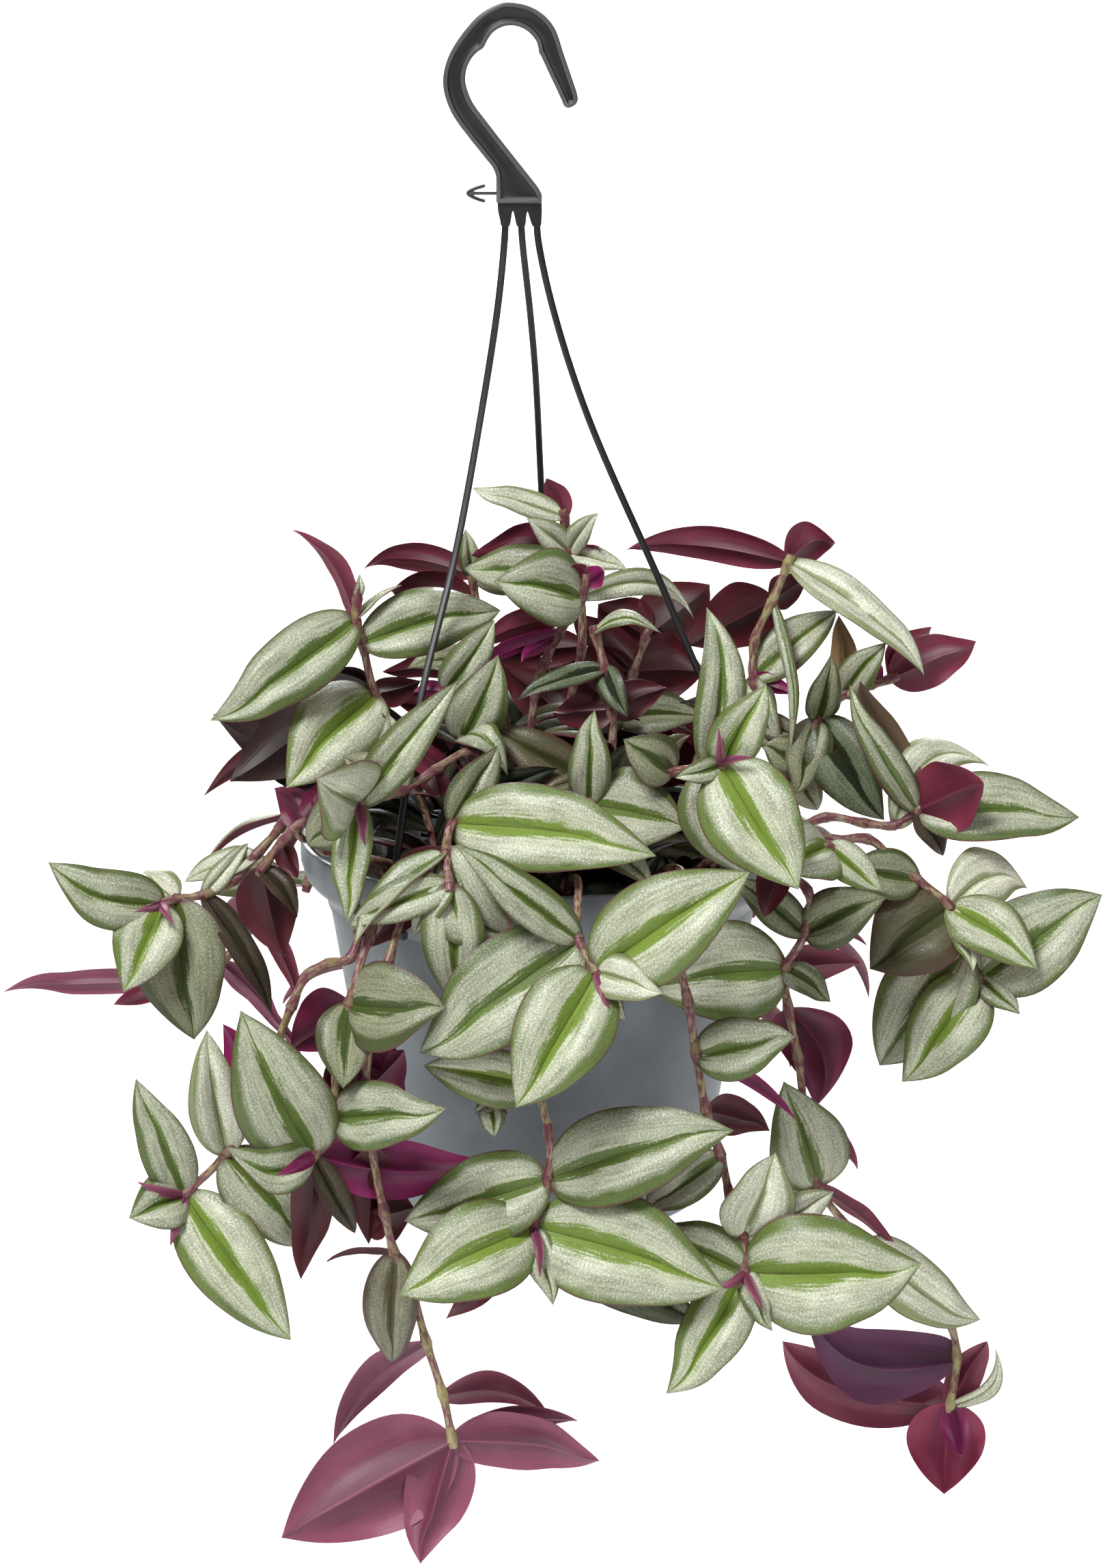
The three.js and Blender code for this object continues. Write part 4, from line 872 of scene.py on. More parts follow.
# %% The shoots seen from the front
SHOOTS = [
    ("crown_left", (-52, 38),
     [(-30, 232, -22), (-42, 207, -26), (-46, 191, -28), (-48, 184, -28), (-47.5, 177, -28)],
     [(3, -93, 215, 16, 22, 12, 0.07, 0.2, -0.05), (2, -3, 181, -14, 21, -14),
      (3, -67, 156, -4, 10, 130, 0.06, 0.2, -0.08), (1, -69.5, 236, 22, 27, 8),
      (1, -87, 234, -8, 27, 168, 0.07, 0.2), (1, -95, 238.5, -26, 12, 165), (3, -34, 173, -4, 5, -60),
      (4, -46.5, 170, 2, 3.4, 20), (1, -92, 213, -16, 36, 168, 0.07, 0.2, 0.27), (1, -28, 203, -8, 10, 165),
      (0, -43, 208, -6, 12, 160)], "s +s u v +k b s p +k +b +k"),
    ("crown_back_left", (-120, 22), [(-2, 215, 12), (-6, 198, 16), (-10, 182, 20), (-12, 170, 20)],
     [(3, -45.5, 168, 4, 11, 148, 0.14), (2, -37, 175, 10, 16, 160, 0.2), (1, -32, 199, 6, 14, 40),
      (3, -14, 156, 2, 7, 10), (3, 14, 161, -6, 18, 10), (0, -36, 209, 6, 14, 165),
      (1, -40, 200, 4, 10, 165)], "u b d s +p +b +b"),
    ("crown_centre", (-30, 12),
     [(8, 204, -8), (11, 196, -9), (15, 188, -10), (20, 181, -12), (22, 177, -13), (23, 172, -13)],
     [(4, -5, 172, 12, 24, 10), (4, 57, 184, -24, 9, -12, 0.03, 0.16, -0.2), (5, 18.5, 167, 4, 6, 170),
      (5, 29, 168.5, 4, 7, 175), (3, -12, 191.5, 12, 10, 145), (2, -13, 200, 20, 7, 130),
      (2, 3, 197, 8, 6, 150)], "s +p u m u m m"),
    ("crown_pink", (20, 18), [(31, 226, -26), (31, 212, -26), (29, 199, -24), (26, 188, -22)],
     [(3, 46.5, 188, 6, 7, -40, 0.28), (2, 36, 214, 10, 9, 20), (1, 13, 213, 8, 12, -160),
      (2, 2, 209, 10, 8, 30), (1, 48, 205, -4, 12, -170)], "s j b j +b"),
    ("crown_top", (-170, 16), [(17, 214, 10), (22, 192, 6), (21, 172, 4), (18, 163, 4), (16.5, 152, 4)],
     [(4, -12, 143, -2, 9, 20, 0.04), (4, 11, 140, 0, 8, 172), (3, 5, 152.5, 8, 10, 10),
      (3, 27, 151, 8, 8, -10), (3, -12.5, 164, -6, 15, 160, 0.2), (2, -14.5, 168, -10, 18, 15),
      (2, 27, 161, 8, 6, -150, 0.2), (3, 36, 168.5, 6, 8, -15), (1, -8, 196, 6, 13, 165),
      (0, -3, 197, -8, 17, 165)], "p u p p u s m p +b +b"),
    ("crown_dark", (150, 20), [(34, 214, 26), (38, 200, 32), (42, 189, 36)],
     [(2, 61.5, 173, -4, 22, -172), (2, 27, 179, -2, 18, 172), (1, 60, 200, -2, 23, -165),
      (1, 12, 200, -4, 16, 165), (0, 60, 214, 4, 16, -30), (0, 14, 216, 6, 14, 30), (0, 8, 190, -4, 22, 168),
      (1, 19, 182, -8, 15, 170)], "b b b b d d +b +b"),
    ("crown_right", (98, 30), [(75, 215, 6), (75, 202, 8), (75.5, 190, 9), (81, 178, 10), (86, 166, 10)],
     [(4, 36, 162, -4, 13, 145, 0.12), (4, 100.5, 160, 2, 15, -150, 0.25), (4, 128, 201, 16, 14, -28),
      (3, 55, 192, -14, 21, 170), (3, 92, 171, -6, 11, -165), (3, 86, 226, 12, 6, 50, 0.02, 0.16, -0.12),
      (1, 101, 181, -10, 16, -20), (1, 87, 207, 6, 7, -140), (1, 84, 229, 4, 10, 20), (0, 93, 222, 2, 9, -20),
      (1, 80, 222, -2, 12, 10)], "u u p +b b s s m +s +g +d"),
    ("right_high", (88, 48), [(88, 228, 0), (95, 215, 2), (103, 207, 4), (112, 204, 6), (118, 202, 6)],
     [(4, 144, 190.5, 0, 17, -170), (4, 130, 186, -8, 12, -150), (3, 110, 195, 6, 8, 170),
      (2, 116, 191, 8, 12, -10), (2, 101.5, 182.5, -4, 9, 170), (1, 99, 195, 10, 11, 10),
      (1, 115.5, 246, 12, 21, 10), (1, 88, 238, 6, 15, 12), (0, 78, 223, 2, 13, 10),
      (0, 95, 243, -4, 12, 15)], "u u m s y d j +d +d +d"),
    ("right_arm", (72, 46, 79), [(98, 245, -16), (110, 247, -16), (119, 247.5, -16), (126, 243, -16)],
     [(3, 105, 204, 2, 12, 30, 0.07, 0.16, -0.1), (3, 146.5, 234, 20, 23, 176, 0.02, 0.02),
      (3, 176, 245, 2, 23, -20), (2, 148, 229, -16, 17, -20, 0.1, 0.16, -0.28), (3, 108, 203, -12, 15, -165),
      (3, 134, 257, 0, 12, -35)], "s +u s p w k"),
    ("front_right_up", (32, 40),
     [(22, 236, -40), (36, 234.5, -52), (50, 231, -64), (61, 229.5, -76), (65, 229, -80)],
     [(3, 60.5, 180, -14, 15, 6, 0.07, 0.16, 0.1), (4, 79, 204, 6, 16, 8), (4, 89, 267.5, 18, 29, 6),
      (3, 73, 263, 0, 25, 14), (2, 35, 221, 4, 16, 10), (4, 65, 218, 6, 4, 60),
      (4, 76, 226.5, 10, 2.4, 168, -0.15), (4, 64.3, 217, 8, 2.6, 172, -0.15), (4, 51, 233, 6, 8, -15)],
     "s v v s d s +l +l +s"),
    ("right_small", (64, 50, 66), [(88, 252, -52), (98, 254, -54)],
     [(1, 84, 261, 14, 22, 14), (1, 115, 268, 8, 12, -10), (0, 78, 276, 4, 13, 150)], "v v b"),
    ("front_left_up", (-22, 44), [(-8, 246, -50), (-18, 247, -66), (-20, 256, -78), (-19, 266, -86)],
     [(1, 45, 257, 16, 27, -12), (1, -4, 223, -8, 14, 15), (2, -48.5, 285, 10, 12, 50, 0.06, 0.6),
      (2, 5, 281, 4, 22, -10, 0.07, 0.16, 0.26), (3, -30, 282, 0, 9, 20), (3, -17, 304, 0, 19, 4),
      (2, -46, 286, 2, 18, 168, 0.1), (3, -50, 279, -2, 13, 10)], "v d s +s s s +b +s"),
    ("front_centre_up", (8, 36), [(21, 254, -44), (23, 246, -54), (24, 241, -60)],
     [(2, 26, 212, 2, 13, 4), (2, 61, 250, 8, 28, -12), (1, 44, 267, 14, 13, -20), (2, 22, 245, 12, 6, 168)],
     "s s s +m"),
    ("left_inner", (-40, 24), [(-8, 240, -34), (-15, 221, -38), (-20, 206, -38)],
     [(2, -5, 184, 4, 13, 10), (1, -4, 195, 8, 18, 6), (1, -1, 232, 14, 12, -30, 0.3),
      (2, -30, 206, 4, 6, 150), (0, 4, 217, 4, 16, 4), (0, -40, 213, 0, 11, -150)], "s s s m s u"),
    ("left_front", (-29, 34), [(-12, 225, -50), (-24, 231, -56), (-34, 237, -60), (-47, 241, -66)],
     [(3, -60, 233, 26, 27, 4), (3, -16.5, 203, 0, 14, 8), (3, -51, 278, 8, 12, 4), (3, -63, 254, -6, 17, 20),
      (2, -38, 213, -4, 11, 6), (2, -52, 226, -8, 13, 20), (1, -22, 239, 8, 9, 160),
      (3, -45.3, 254, 10, 3.6, 170, -0.15)], "p s v d s d b +l"),
    ("left_arm", (-72, 46, -72),
     [(-68, 243, -34), (-72, 249, -34), (-79, 257, -36), (-86, 265, -38), (-95, 269, -40), (-104, 270.5, -42),
      (-108, 272, -44)],
     [(6, -143, 259, 8, 19, 14, 0.05, 0.16, -0.1), (6, -120, 299, 16, 21, 4), (5, -98, 314, 6, 29, 4),
      (2, -101, 265, -4, 10, 30), (4, -74, 306, 4, 11, -40), (5, -114, 262, -8, 12, 20),
      (4, -81, 253, -6, 7, 10), (6, -104, 278.5, 12, 3, 170, -0.15), (6, -117, 274.5, 12, 3, 165, -0.15)],
     "s v d p k p +p +l +l"),
    ("left_dark", (-58, 52, -59), [(-64, 246.5, -50), (-71, 253, -50), (-77, 261, -48)],
     [(2, -70, 288, -2, 19, 172), (2, -66, 276, 6, 8, -30, 0.07, 0.5), (1, -66, 264, 2, 7, 170),
      (0, -50, 231, 2, 12, 170), (0, -73, 236, -6, 12, 160)], "b k b q q"),
    ("left_behind", (-92, 50, -98), [(-72, 262, 0), (-78, 276, -4), (-90, 290, -8), (-104, 296, -10)],
     [(3, -157, 299, 0, 9, 160), (3, -123, 303, 6, 7, 165), (2, -70, 311, -2, 8, -160),
      (1, -66, 303, -6, 7, -160), (0, -96, 268, -8, 14, 20), (2, -64, 322.5, -4, 5, -165)], "l u l u d +l"),
    ("left_low", (-45, 40, -47),
     [(-47, 281, -82), (-50, 289, -86), (-57, 290.5, -88), (-63, 294, -88), (-68, 304, -86), (-73, 317, -84),
      (-80, 333, -80), (-88, 349, -78), (-101, 362, -78)],
     [(8, -116, 326, 4, 16, 8), (8, -118, 369, 10, 18, 10), (8, -68, 407, 12, 25, -4),
      (7, -63, 378, -4, 23, -6), (7, -94, 311, 4, 17, 10), (6, -89, 309, -6, 11, 172),
      (8, -116, 357.5, 8, 3.4, 168, -0.15), (8, -105.5, 378, 10, 4, 172, -0.15)], "s s v s p m +l +l"),
    ("front_left", (-36, 40, -33),
     [(-44, 283, -84), (-50, 303, -86), (-54, 320, -86), (-55, 338, -86), (-61, 350, -88)],
     [(4, -83.5, 305, 10, 29, 4), (4, -88, 347, 12, 15, 20, 0.08, 0.3, -0.22), (4, -75, 357, 8, 6, 150),
      (4, -65, 388, -2, 13, 176), (4, -48, 374, -6, 9, -20), (3, -20, 335, 10, 21, -10),
      (4, -9, 351, 0, 20, -168, 0.07, 0.16, -0.12), (2, -48, 345, -4, 11, 172), (1, -68, 317, -4, 20, 172),
      (1, -20, 304, 16, 27, -8), (1, -52, 329, 6, 18, 10), (4, -73, 356, 20, 5, 168, -0.1)],
     "s s m b k s m b q d d +m"),
    ("front_long", (-26, 44, -28),
     [(-38, 290, -88), (-43, 312, -90), (-45, 330, -90), (-43, 348, -86), (-39, 368, -82), (-36, 380, -80),
      (-30, 394, -78), (-26, 408, -76), (-21, 424, -75), (-18, 438, -75)],
     [(9, -71, 468, 14, 35, 172), (9, -28, 476, 8, 21, 178), (9, 27.5, 444, 8, 19, -165),
      (9, 20.5, 431.5, -2, 12, -150), (8, 12, 430, -8, 13, -150, 0.2), (7, -55, 438.5, -6, 15, 140, 0.1),
      (5, -37, 414, -6, 17, 8), (5, -57, 382, 4, 5, 120), (4, -30, 366, -6, 18, -170),
      (4, -50, 366, -8, 18, 170), (2, -33, 317, -4, 14, 174), (1, -33, 345, -4, 13, 172),
      (1, -55, 342, -6, 13, 168), (3, -44, 377, -8, 14, 172)], "l l l l r l g b b b l +q +q +b"),
    ("front_tip", (6, 48, 8), [(21, 283, -92), (26.5, 293, -97)],
     [(1, 1.5, 335, 14, 29, 4), (1, 74, 262, 2, 30, -8), (0, -28.5, 318, 4, 31, 10), (0, -17, 254, 8, 14, 10),
      (1, 47, 299.5, 12, 14, -8), (1, 35.5, 308, 2, 7, 10), (1, 30.5, 304.5, 9, 3.4, 170, -0.15)],
     "v v s s p s +l"),
    ("front_hanging", (-6, 40, -7),
     [(-1, 282, -84), (2, 305, -84), (8, 328, -85), (12, 344, -86), (11.5, 357, -88), (7, 372, -90)],
     [(5, -34.5, 393, 12, 29, 6, 0.14), (5, 66, 391, 12, 34, -4), (4, 69, 342, 10, 28, -10),
      (4, -33, 370, 0, 27, 14, 0, 0.04, -0.03), (5, 13, 396, 12, 10, 4), (5, -20, 400, -8, 15, 176),
      (5, 59, 401, -10, 20, -20, 0.07, 0.16, 0.06), (2, -27, 322, -2, 18, -8),
      (5, 9, 388, 12, 3, 170, -0.15)], "v v s s s b j v +l"),
    ("front_bud", (-15, 52, -17), [(-10, 285, -82), (-8, 310, -82), (-6, 334, -83)],
     [(2, -5, 344, 4, 8, 6), (2, -11, 337, 2, 5, 20), (2, -1, 337, 0, 4, 170)], "s s m"),
    ("front_right", (34, 52, 33),
     [(52, 288, -84), (55, 303, -86), (57.5, 319, -86), (60.5, 336, -86), (65, 350, -86), (68, 363, -87),
      (72, 375, -88), (72.5, 386, -90)],
     [(7, 127, 383, 10, 36, -4), (7, 48, 423.5, 10, 20, 4), (7, 81, 404, 12, 9, -6), (7, 44, 371, -6, 19, 8),
      (6, 82, 349, 4, 23, 20), (4, 41, 368, 0, 14, 14), (2, 88, 313, 4, 19, -10), (2, 88, 338, -2, 7, -130),
      (3, 80, 342, -8, 13, -170), (2, 70, 327, 2, 6, 10), (6, 100, 361, -6, 15, 10),
      (7, 78, 399, 14, 2.8, 172, -0.15), (7, 63, 391, 9, 3.4, 165, -0.15)], "v v s s p s s m b s +p +l +l"),
    ("right_hanging", (50, 48, 54),
     [(92, 268, -58), (91, 281, -58), (85, 292, -56), (86, 305, -54), (89, 320, -52), (91, 337, -50),
      (95, 359, -46), (110, 377, -40), (127, 390, -36), (136, 402, -34), (138, 413, -34), (136, 427, -34)],
     [(2, 43, 298, 2, 31, 8), (1, 116, 270, 6, 18, -10), (1, 69, 264, -4, 13, 20),
      (1, 110, 284, -10, 7, -110), (2, 108, 290, -14, 13, -165), (2, 68, 304, -10, 8, 150),
      (3, 94, 335, -2, 22, 174, 0.07, 0.16, 0.2), (2, 99, 302, 4, 11, -30), (6, 84.5, 327, 10, 25, 2),
      (6, 76, 369, 2, 16, 10), (6, 120, 380, -6, 8, -130), (5, 107.5, 353.5, -4, 9, -130),
      (7, 145.5, 400.5, 2, 20, -20, 0.07, 0.16, 0.08), (10, 91, 397, 0, 25, 172, -0.04, 0.16, 0.2),
      (11, 84, 407, 6, 24, 165, 0.16, 0.16, 0.2), (11, 134, 454.5, 8, 25, 178), (11, 140, 443, 12, 9, 176),
      (11, 147.5, 407, 4, 11, 172), (11, 150, 409.5, 2, 6.5, 20, 0.07, 0.16, 0.2)],
     "s d d u u u q d s s u l p x r h m +r +p"),
    ("right_arm_low", (66, 34, 72),
     [(100, 252, -34), (111, 252, -34), (119, 259, -32), (126, 264.5, -32), (136, 273, -32), (140, 285, -32),
      (145, 295, -32)],
     [(4, 163, 292, 14, 19, -15), (4, 111, 292, 6, 29, 10), (4, 143, 293, 12, 8, -10),
      (4, 160, 267, -12, 21, -20, 0.07, 0.16, -0.2), (3, 101, 262, 4, 16, 12), (5, 114, 322, -6, 29, 6),
      (6, 183, 269, 2, 29, -10), (6, 121, 327, 10, 24, 4), (6, 157.5, 306, 8, 9, -10),
      (5, 143, 296, -4, 10, 10)], "v n v p d s s v s s"),
]

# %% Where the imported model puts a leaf
BEND_STEPS = (0, 6, -6, 12, -12, 18, -18, 24, -24, 30)
LENGTH_SHARES = (1, 0.82, 0.64)
FOUND_WITHIN = 0.4
LEAN = 0.16  # the most that the green margins of a leaf differ


def packed_tip(corners, base, tip_at):
    """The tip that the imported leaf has, and its share of the full length, or nothing if it has no room."""
    for share in LENGTH_SHARES:
        for shift in BEND_STEPS:
            tip = base + (tip_at(shift) - base) * share
            if np.min(np.linalg.norm(corners - tip, axis=1)) < FOUND_WITHIN:
                return tip, share
    return None, 0


def corners_of(node):
    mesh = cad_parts[node].data
    corners = np.zeros(len(mesh.vertices) * 3)
    mesh.vertices.foreach_get("co", corners)
    return corners.reshape(-1, 3) / MM


def face_of(base, tip, degrees):
    """The direction of a leaf's upper side: 0 faces the viewer, 180 away."""
    direction = (tip - base) / np.linalg.norm(tip - base)
    front = -SIGHT + direction * SIGHT.dot(direction)
    front /= np.linalg.norm(front)
    side = np.cross(direction, front)
    turn = math.radians(degrees)
    return front * math.cos(turn) + side * math.sin(turn)


def root_points(degrees, radius, over=None):
    """The stem's way out of the soil, and over the rim if it crosses it at once."""
    points = [round_pot(degrees, radius, soil_top + z) for z in (-ROOT_DEPTH, 2)]
    if over is not None:
        points += [round_pot(over, RIM_CREST, RIM_TOP + 3), round_pot(over, RIM_PASSED, RIM_TOP + 4.5)]
    return points


def stem_line(points):
    line = smooth_line(points)
    end = line[-1] - line[-2]
    return np.vstack([line, line[-1] + end / np.linalg.norm(end) * STEM_END])


def shades_of(letter, lean=0.0):
    """The values of a leaf's shades. The lean makes its green margin wider on one side."""
    silver, middle, margin, stripe, shine = UPPER_SHADES.get(letter, UPPER_SHADES["s"])
    by_rib, by_edge = UNDER_SHADES.get(letter, UNDER_SHADES["u"])
    names = ("leaf_silver", "leaf_middle", "leaf_margin", "leaf_under", "leaf_under_edge")
    shades = {name: linear(s)[:3] for name, s in zip(names, (silver, middle, margin, by_rib, by_edge))}
    return {**shades, "leaf_traits": (stripe, shine, lean)}


def grow(shoot, node, tip, share, width, face, form, letter, rng):
    """Adds a leaf to a shoot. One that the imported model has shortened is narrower, too."""
    shades = shades_of(letter, rng.uniform(-LEAN, LEAN))
    leaf(shoot, (node, tip, width * (0.5 + share / 2), face, *form), shades, rng)


# %% Make the shoots seen from the front
PLAIN_FORM = [0.07, 0.18, 0]  # arch, fold and bend where a row doesn't give them
LEAF_SEED = 11
leafy_stems = []
left_out = 0
for number, (name, root, stem_rows, leaf_rows, letters) in enumerate(SHOOTS):
    rng = np.random.default_rng(LEAF_SEED + number)
    nodes = [seen(*row) for row in stem_rows]
    shoot = Pieces()
    line = stem_line(root_points(*root) + nodes)
    stem(shoot, line, nodes, green_end=name in GREEN_JOINTED)
    stem_faces = len(shoot.faces)
    corners = corners_of("shoot_" + name)
    for row, letter in zip(leaf_rows, letters.split()):
        at, right, drop, nearer, width, turn, *form = row
        form += PLAIN_FORM[len(form) :]
        depth = stem_rows[at][2] - nearer
        tip, share = seen(right, drop, depth), 1
        if not letter.startswith("+"):
            tip, share = packed_tip(corners, nodes[at], lambda shift: seen(right, drop, depth - shift))
        if tip is None:
            left_out += 1
            continue
        face = face_of(nodes[at], tip, turn)
        grow(shoot, nodes[at], tip, share, width, face, form, letter.strip("+"), rng)
    leafy_stems.append((name, shoot, line, stem_faces))
print("leaves with no room:", left_out)

# %% [markdown]
# ## The shoots at the back
# No photograph shows the far side, so its shoots follow a rule: they lean over the rim at even turns, hang
# down the wall, and bear a leaf at each joint, to the left and right in turn. A small number generator, the
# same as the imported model's, gives each its own length and lean.

# %% Make the shoots at the back
BACK_SHOOTS = [  # degrees round the pot, how far it hangs
    (114, 14), (130, 36), (146, 66), (159, 98), (171, 76), (187, 104), (203, 90), (219, 58), (240, 24)
]
BACK_LEAF_LENGTH = (38, 52)
BACK_SEED = 20417
BACK_ROOT_RADII = (52, 38)
BACK_RIM_REACH = 81
BACK_NODE_STEP = 24
BACK_LEAF_WIDTH = 0.44
BACK_SPREAD = 0.55
BACK_LEAN = 0.75
BACK_FOLD = 0.2


def drawer(seed):
    """Draws between 0 and 1, always the same ones for a seed."""
    state = seed
    while True:
        state = (state * 1664525 + 1013904223) % 2**32
        yield state / 2**32


def back_nodes(degrees, hang, draws):
    """The joints of a shoot at the back, from the rim down the wall."""
    count = max(2, math.floor((hang + 22) / BACK_NODE_STEP + 0.5))
    nodes = []
    for i in range(count):
        reach = BACK_RIM_REACH + 5 * math.sin(math.pi * i / count)
        height = RIM_TOP - 4 - i * hang / (count - 1)
        nodes.append(round_pot(degrees + 3 * (next(draws) - 0.5), reach, height))
    return nodes


def back_leaves(degrees, nodes, draws):
    """Where each of its leaves starts, its length, way, face, arch and shade. The last two stand up."""
    outward = way_round(degrees)
    around = way_round(degrees + 90)
    shortest, longest = BACK_LEAF_LENGTH
    leaves = []
    for i, base in enumerate(nodes):
        length = shortest + next(draws) * (longest - shortest)
        lean = outward * (BACK_LEAN + 0.3 * next(draws))
        lean = lean + around * (1 if i % 2 == 0 else -1) * BACK_SPREAD * (0.7 + 0.6 * next(draws))
        lean[2] = -0.35 - 0.5 * next(draws)
        face = outward * 0.5 + np.array([0.0, 0.0, 1.0])
        leaves.append((base, length, lean / np.linalg.norm(lean), face, 0.1, "sdsvp"[i % 5]))
    for way in (-1, 1):
        rise = outward * (-0.5 - 0.4 * next(draws))
        rise = rise + around * way * (0.3 + 0.5 * next(draws))
        rise[2] = 0.7 + 0.5 * next(draws)
        length = shortest + next(draws) * 8
        base = round_pot(degrees, RIM_CREST, RIM_TOP + 3)
        leaves.append((base, length, rise / np.linalg.norm(rise), outward, -0.06, "sp"[way > 0]))
    return leaves


draws = drawer(BACK_SEED)
for index, (degrees, hang) in enumerate(BACK_SHOOTS):
    rng = np.random.default_rng(LEAF_SEED + 100 + index)
    nodes = back_nodes(degrees, hang, draws)
    leaves = back_leaves(degrees, nodes, draws)
    shoot = Pieces()
    line = stem_line(root_points(degrees, BACK_ROOT_RADII[index % 2], degrees) + nodes)
    stem(shoot, line, nodes)
    stem_faces = len(shoot.faces)
    corners = corners_of(f"shoot_back_{index + 1}")
    outward = way_round(degrees)
    for base, length, way, face, arch, letter in leaves:
        tip, share = packed_tip(corners, base, lambda shift: base + way * length + outward * shift)
        if tip is None:
            left_out += 1
            continue
        grow(shoot, base, tip, share, length * BACK_LEAF_WIDTH, face, (arch, BACK_FOLD, 0), letter, rng)
    leafy_stems.append((f"back_{index + 1}", shoot, line, stem_faces))
print("leaves with no room in all:", left_out)

# %% [markdown]
# ## Old leaves low in the crown
# Under the young growth sit older leaves, dull and red, which shade each other. Their colours are also
# painted near-black, a painted shade that makes the heart of the plant look almost black. The imported model
# leaves them out, since they add nothing to its outline. Here each stem gets a few on its lowest stretch,
# pointing any way. A tree of all the faces made so far tells at once whether a leaf would cut through
# another, and then it gets another direction.

# %% Make the old leaves
UNDERGROWTH_SEED = 23
UNDERGROWTH_STEP = 6.0
UNDERGROWTH_TRIES = 14
HEART_TOP = -204.0
HEART_RADIUS = 68.0
MOUTH_RADIUS = 60.0
OLD_LEAF_GRID = (15, 9)
OLD_LEAF_LENGTH = (20, 36)
OLD_LEAF_WIDTH = (0.36, 0.5)  # as a share of its length


def tree_of(pieces, first_face=0):
    return BVHTree.FromPolygons(np.concatenate(pieces.points).tolist(), pieces.faces[first_face:])


def in_heart(points):
    """Whether all points lie in the heart of the crown, clear of the pot's wall and the soil."""
    out = np.hypot(points[:, 0] - POT_X, points[:, 1])
    heights = points[:, 2]
    limit = np.where(heights < RIM_TOP + 5, MOUTH_RADIUS, HEART_RADIUS)
    return bool(np.all(out < limit) and heights.min() > soil_top + 2.5 and heights.max() < HEART_TOP)


def old_leaf(start, rng):
    """The form of an old leaf that starts there and points any way."""
    turn = rng.uniform(0, 2 * math.pi)
    way = np.array([math.cos(turn), math.sin(turn), rng.uniform(-0.25, 0.9)])
    way /= np.linalg.norm(way)
    length = rng.uniform(*OLD_LEAF_LENGTH)
    width = length * rng.uniform(*OLD_LEAF_WIDTH)
    face = np.array([0.6 * way[0], 0.6 * way[1], 1.0]) + rng.normal(size=3) * 0.35
    return start, start + way * length, width, face, 0.1, 0.12, 0


trees = [[tree_of(shoot)] for _, shoot, _, _ in leafy_stems]
own_leaves = [tree_of(shoot, faces) for _, shoot, _, faces in leafy_stems]
fixed = [tree_of(hanger)]
rng = np.random.default_rng(UNDERGROWTH_SEED)
old_faces = grid_faces(*OLD_LEAF_GRID).tolist()
old_leaves = 0
for number, (name, shoot, line, _) in enumerate(leafy_stems):
    low = [k for k in range(2, len(line) - 1) if soil_top + 3 < line[k][2] < HEART_TOP - 6]
    low = [k for k in low if np.hypot(line[k][0] - POT_X, line[k][1]) < HEART_RADIUS]
    if name.startswith("back"):
        low = low[: len(low) // 2]
    every = max(1, round(UNDERGROWTH_STEP / LINE_STEP))
    for k in low[::every]:
        for _ in range(UNDERGROWTH_TRIES):
            form = old_leaf(line[k], rng)
            seed = int(rng.integers(1 << 30))
            surface = leaf_surface(*form, np.random.default_rng(seed), OLD_LEAF_GRID)[0]
            points = surface.reshape(-1, 3)
            if not in_heart(points):
                continue
            blade = BVHTree.FromPolygons(points.tolist(), old_faces)
            others = [t for i, group in enumerate(trees) if i != number for t in group]
            others += trees[number][1:] + [own_leaves[number]] + fixed
            if any(blade.overlap(other) for other in others):
                continue
            # four in five take o, a near-black copy of the leaf's colours: painted shade for the heart
            letter = "oooon"[int(rng.integers(5))]
            leaf(shoot, form, shades_of(letter), np.random.default_rng(seed), OLD_LEAF_GRID)
            trees[number].append(blade)
            old_leaves += 1
            break
print("old leaves:", old_leaves)

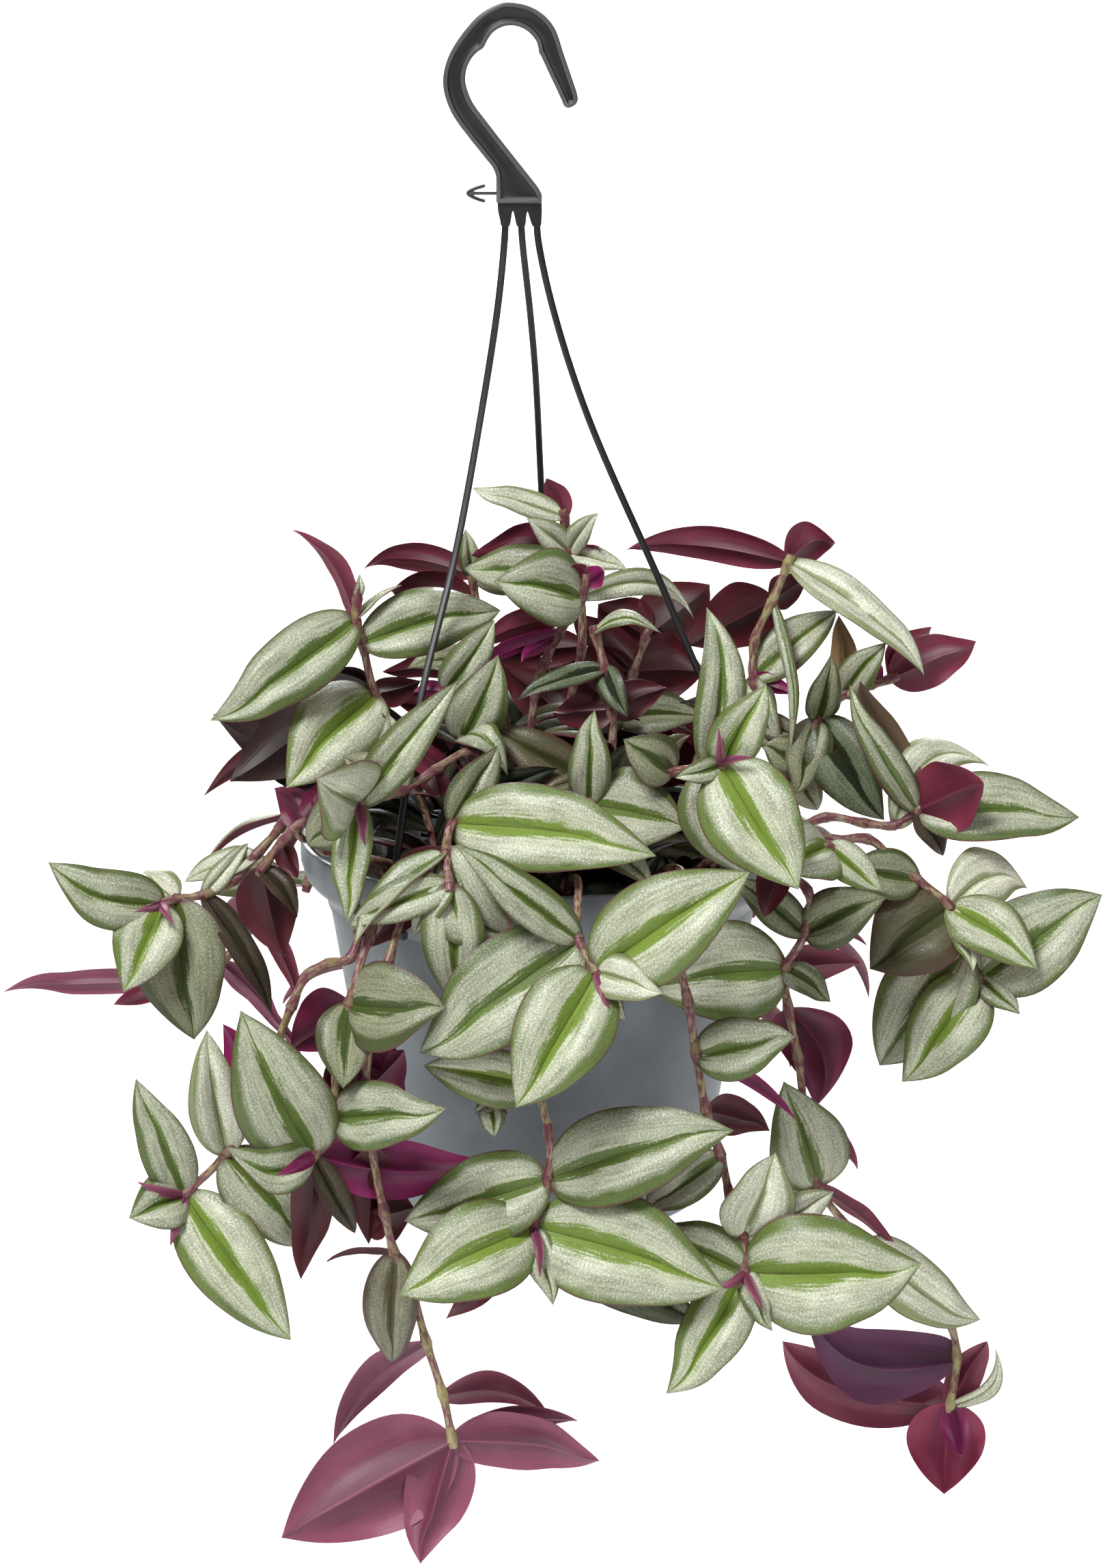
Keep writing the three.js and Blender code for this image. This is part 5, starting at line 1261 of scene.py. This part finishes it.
# %% Put the leafy stems in place
leaf_finishes = [upper_side, under_side, stem_skin]
for name, shoot, _, _ in leafy_stems:
    shoot.build("leafy_stem_" + name, leaf_finishes, "shoot_" + name, "leaf")
print("faces on the leafy stems:", sum(len(shoot.faces) for _, shoot, _, _ in leafy_stems))

# %% [markdown]
# ## Studio
# The plant was photographed against plain white in soft light, so its shadows are short and pale. A large
# pale floor lies far below, wide area lights stand in front and above, and the world adds a little from all
# sides. Two strong lights over the floor behind turn it pure white where the camera looks. Blender's
# Standard view keeps a colour as it was given.

# %% Floor and light
FLOOR_DROP = 0.8
FLOOR_REACH = 30.0
floor_mesh = bpy.data.meshes.new("studio_floor")
corners = [(x * FLOOR_REACH, y * FLOOR_REACH, 0) for x, y in ((-1, -1), (1, -1), (1, 1), (-1, 1))]
floor_mesh.from_pydata(corners, [], [(0, 1, 2, 3)])
floor = stand("studio_floor", floor_mesh)
floor.location = (0, 0, -FLOOR_DROP)
paper, tree, shader = new_material("white_paper", 0.9)
shader.inputs["Base Color"].default_value = linear("#f7f7f6")
floor_mesh.materials.append(paper)

world = bpy.data.worlds.new("studio")
bpy.context.scene.world = world
world.use_nodes = True
sky = world.node_tree.nodes["Background"]
sky.inputs["Color"].default_value = linear("#ffffff")
sky.inputs["Strength"].default_value = 0.2

plant = tuple(VIEW_CENTRE * MM)
LIGHTS = [  # where it stands, what it shines at, how wide and how strong it is
    ("key", (-0.7, -1.0, 1.3), plant, 0.8, 43),
    ("fill", (1.0, -1.6, 0.4), plant, 1.0, 6),
    ("rim", (0.4, 1.3, 1.0), plant, 1.0, 9),
    ("backdrop", (0.0, 5.5, 3.0), (0.0, 5.5, -FLOOR_DROP), 5.0, 550),
    ("far_backdrop", (0.0, 15.0, 6.0), (0.0, 15.0, -FLOOR_DROP), 8.0, 2600),
]
for name, spot, target, width, power in LIGHTS:
    lamp = bpy.data.lights.new(name, "AREA")
    lamp.shape = "DISK"
    lamp.size = width
    lamp.energy = power
    light = stand(name, lamp)
    light.location = spot
    light.rotation_euler = (Vector(target) - Vector(spot)).to_track_quat("-Z", "Y").to_euler()
bpy.context.scene.view_settings.view_transform = "Standard"
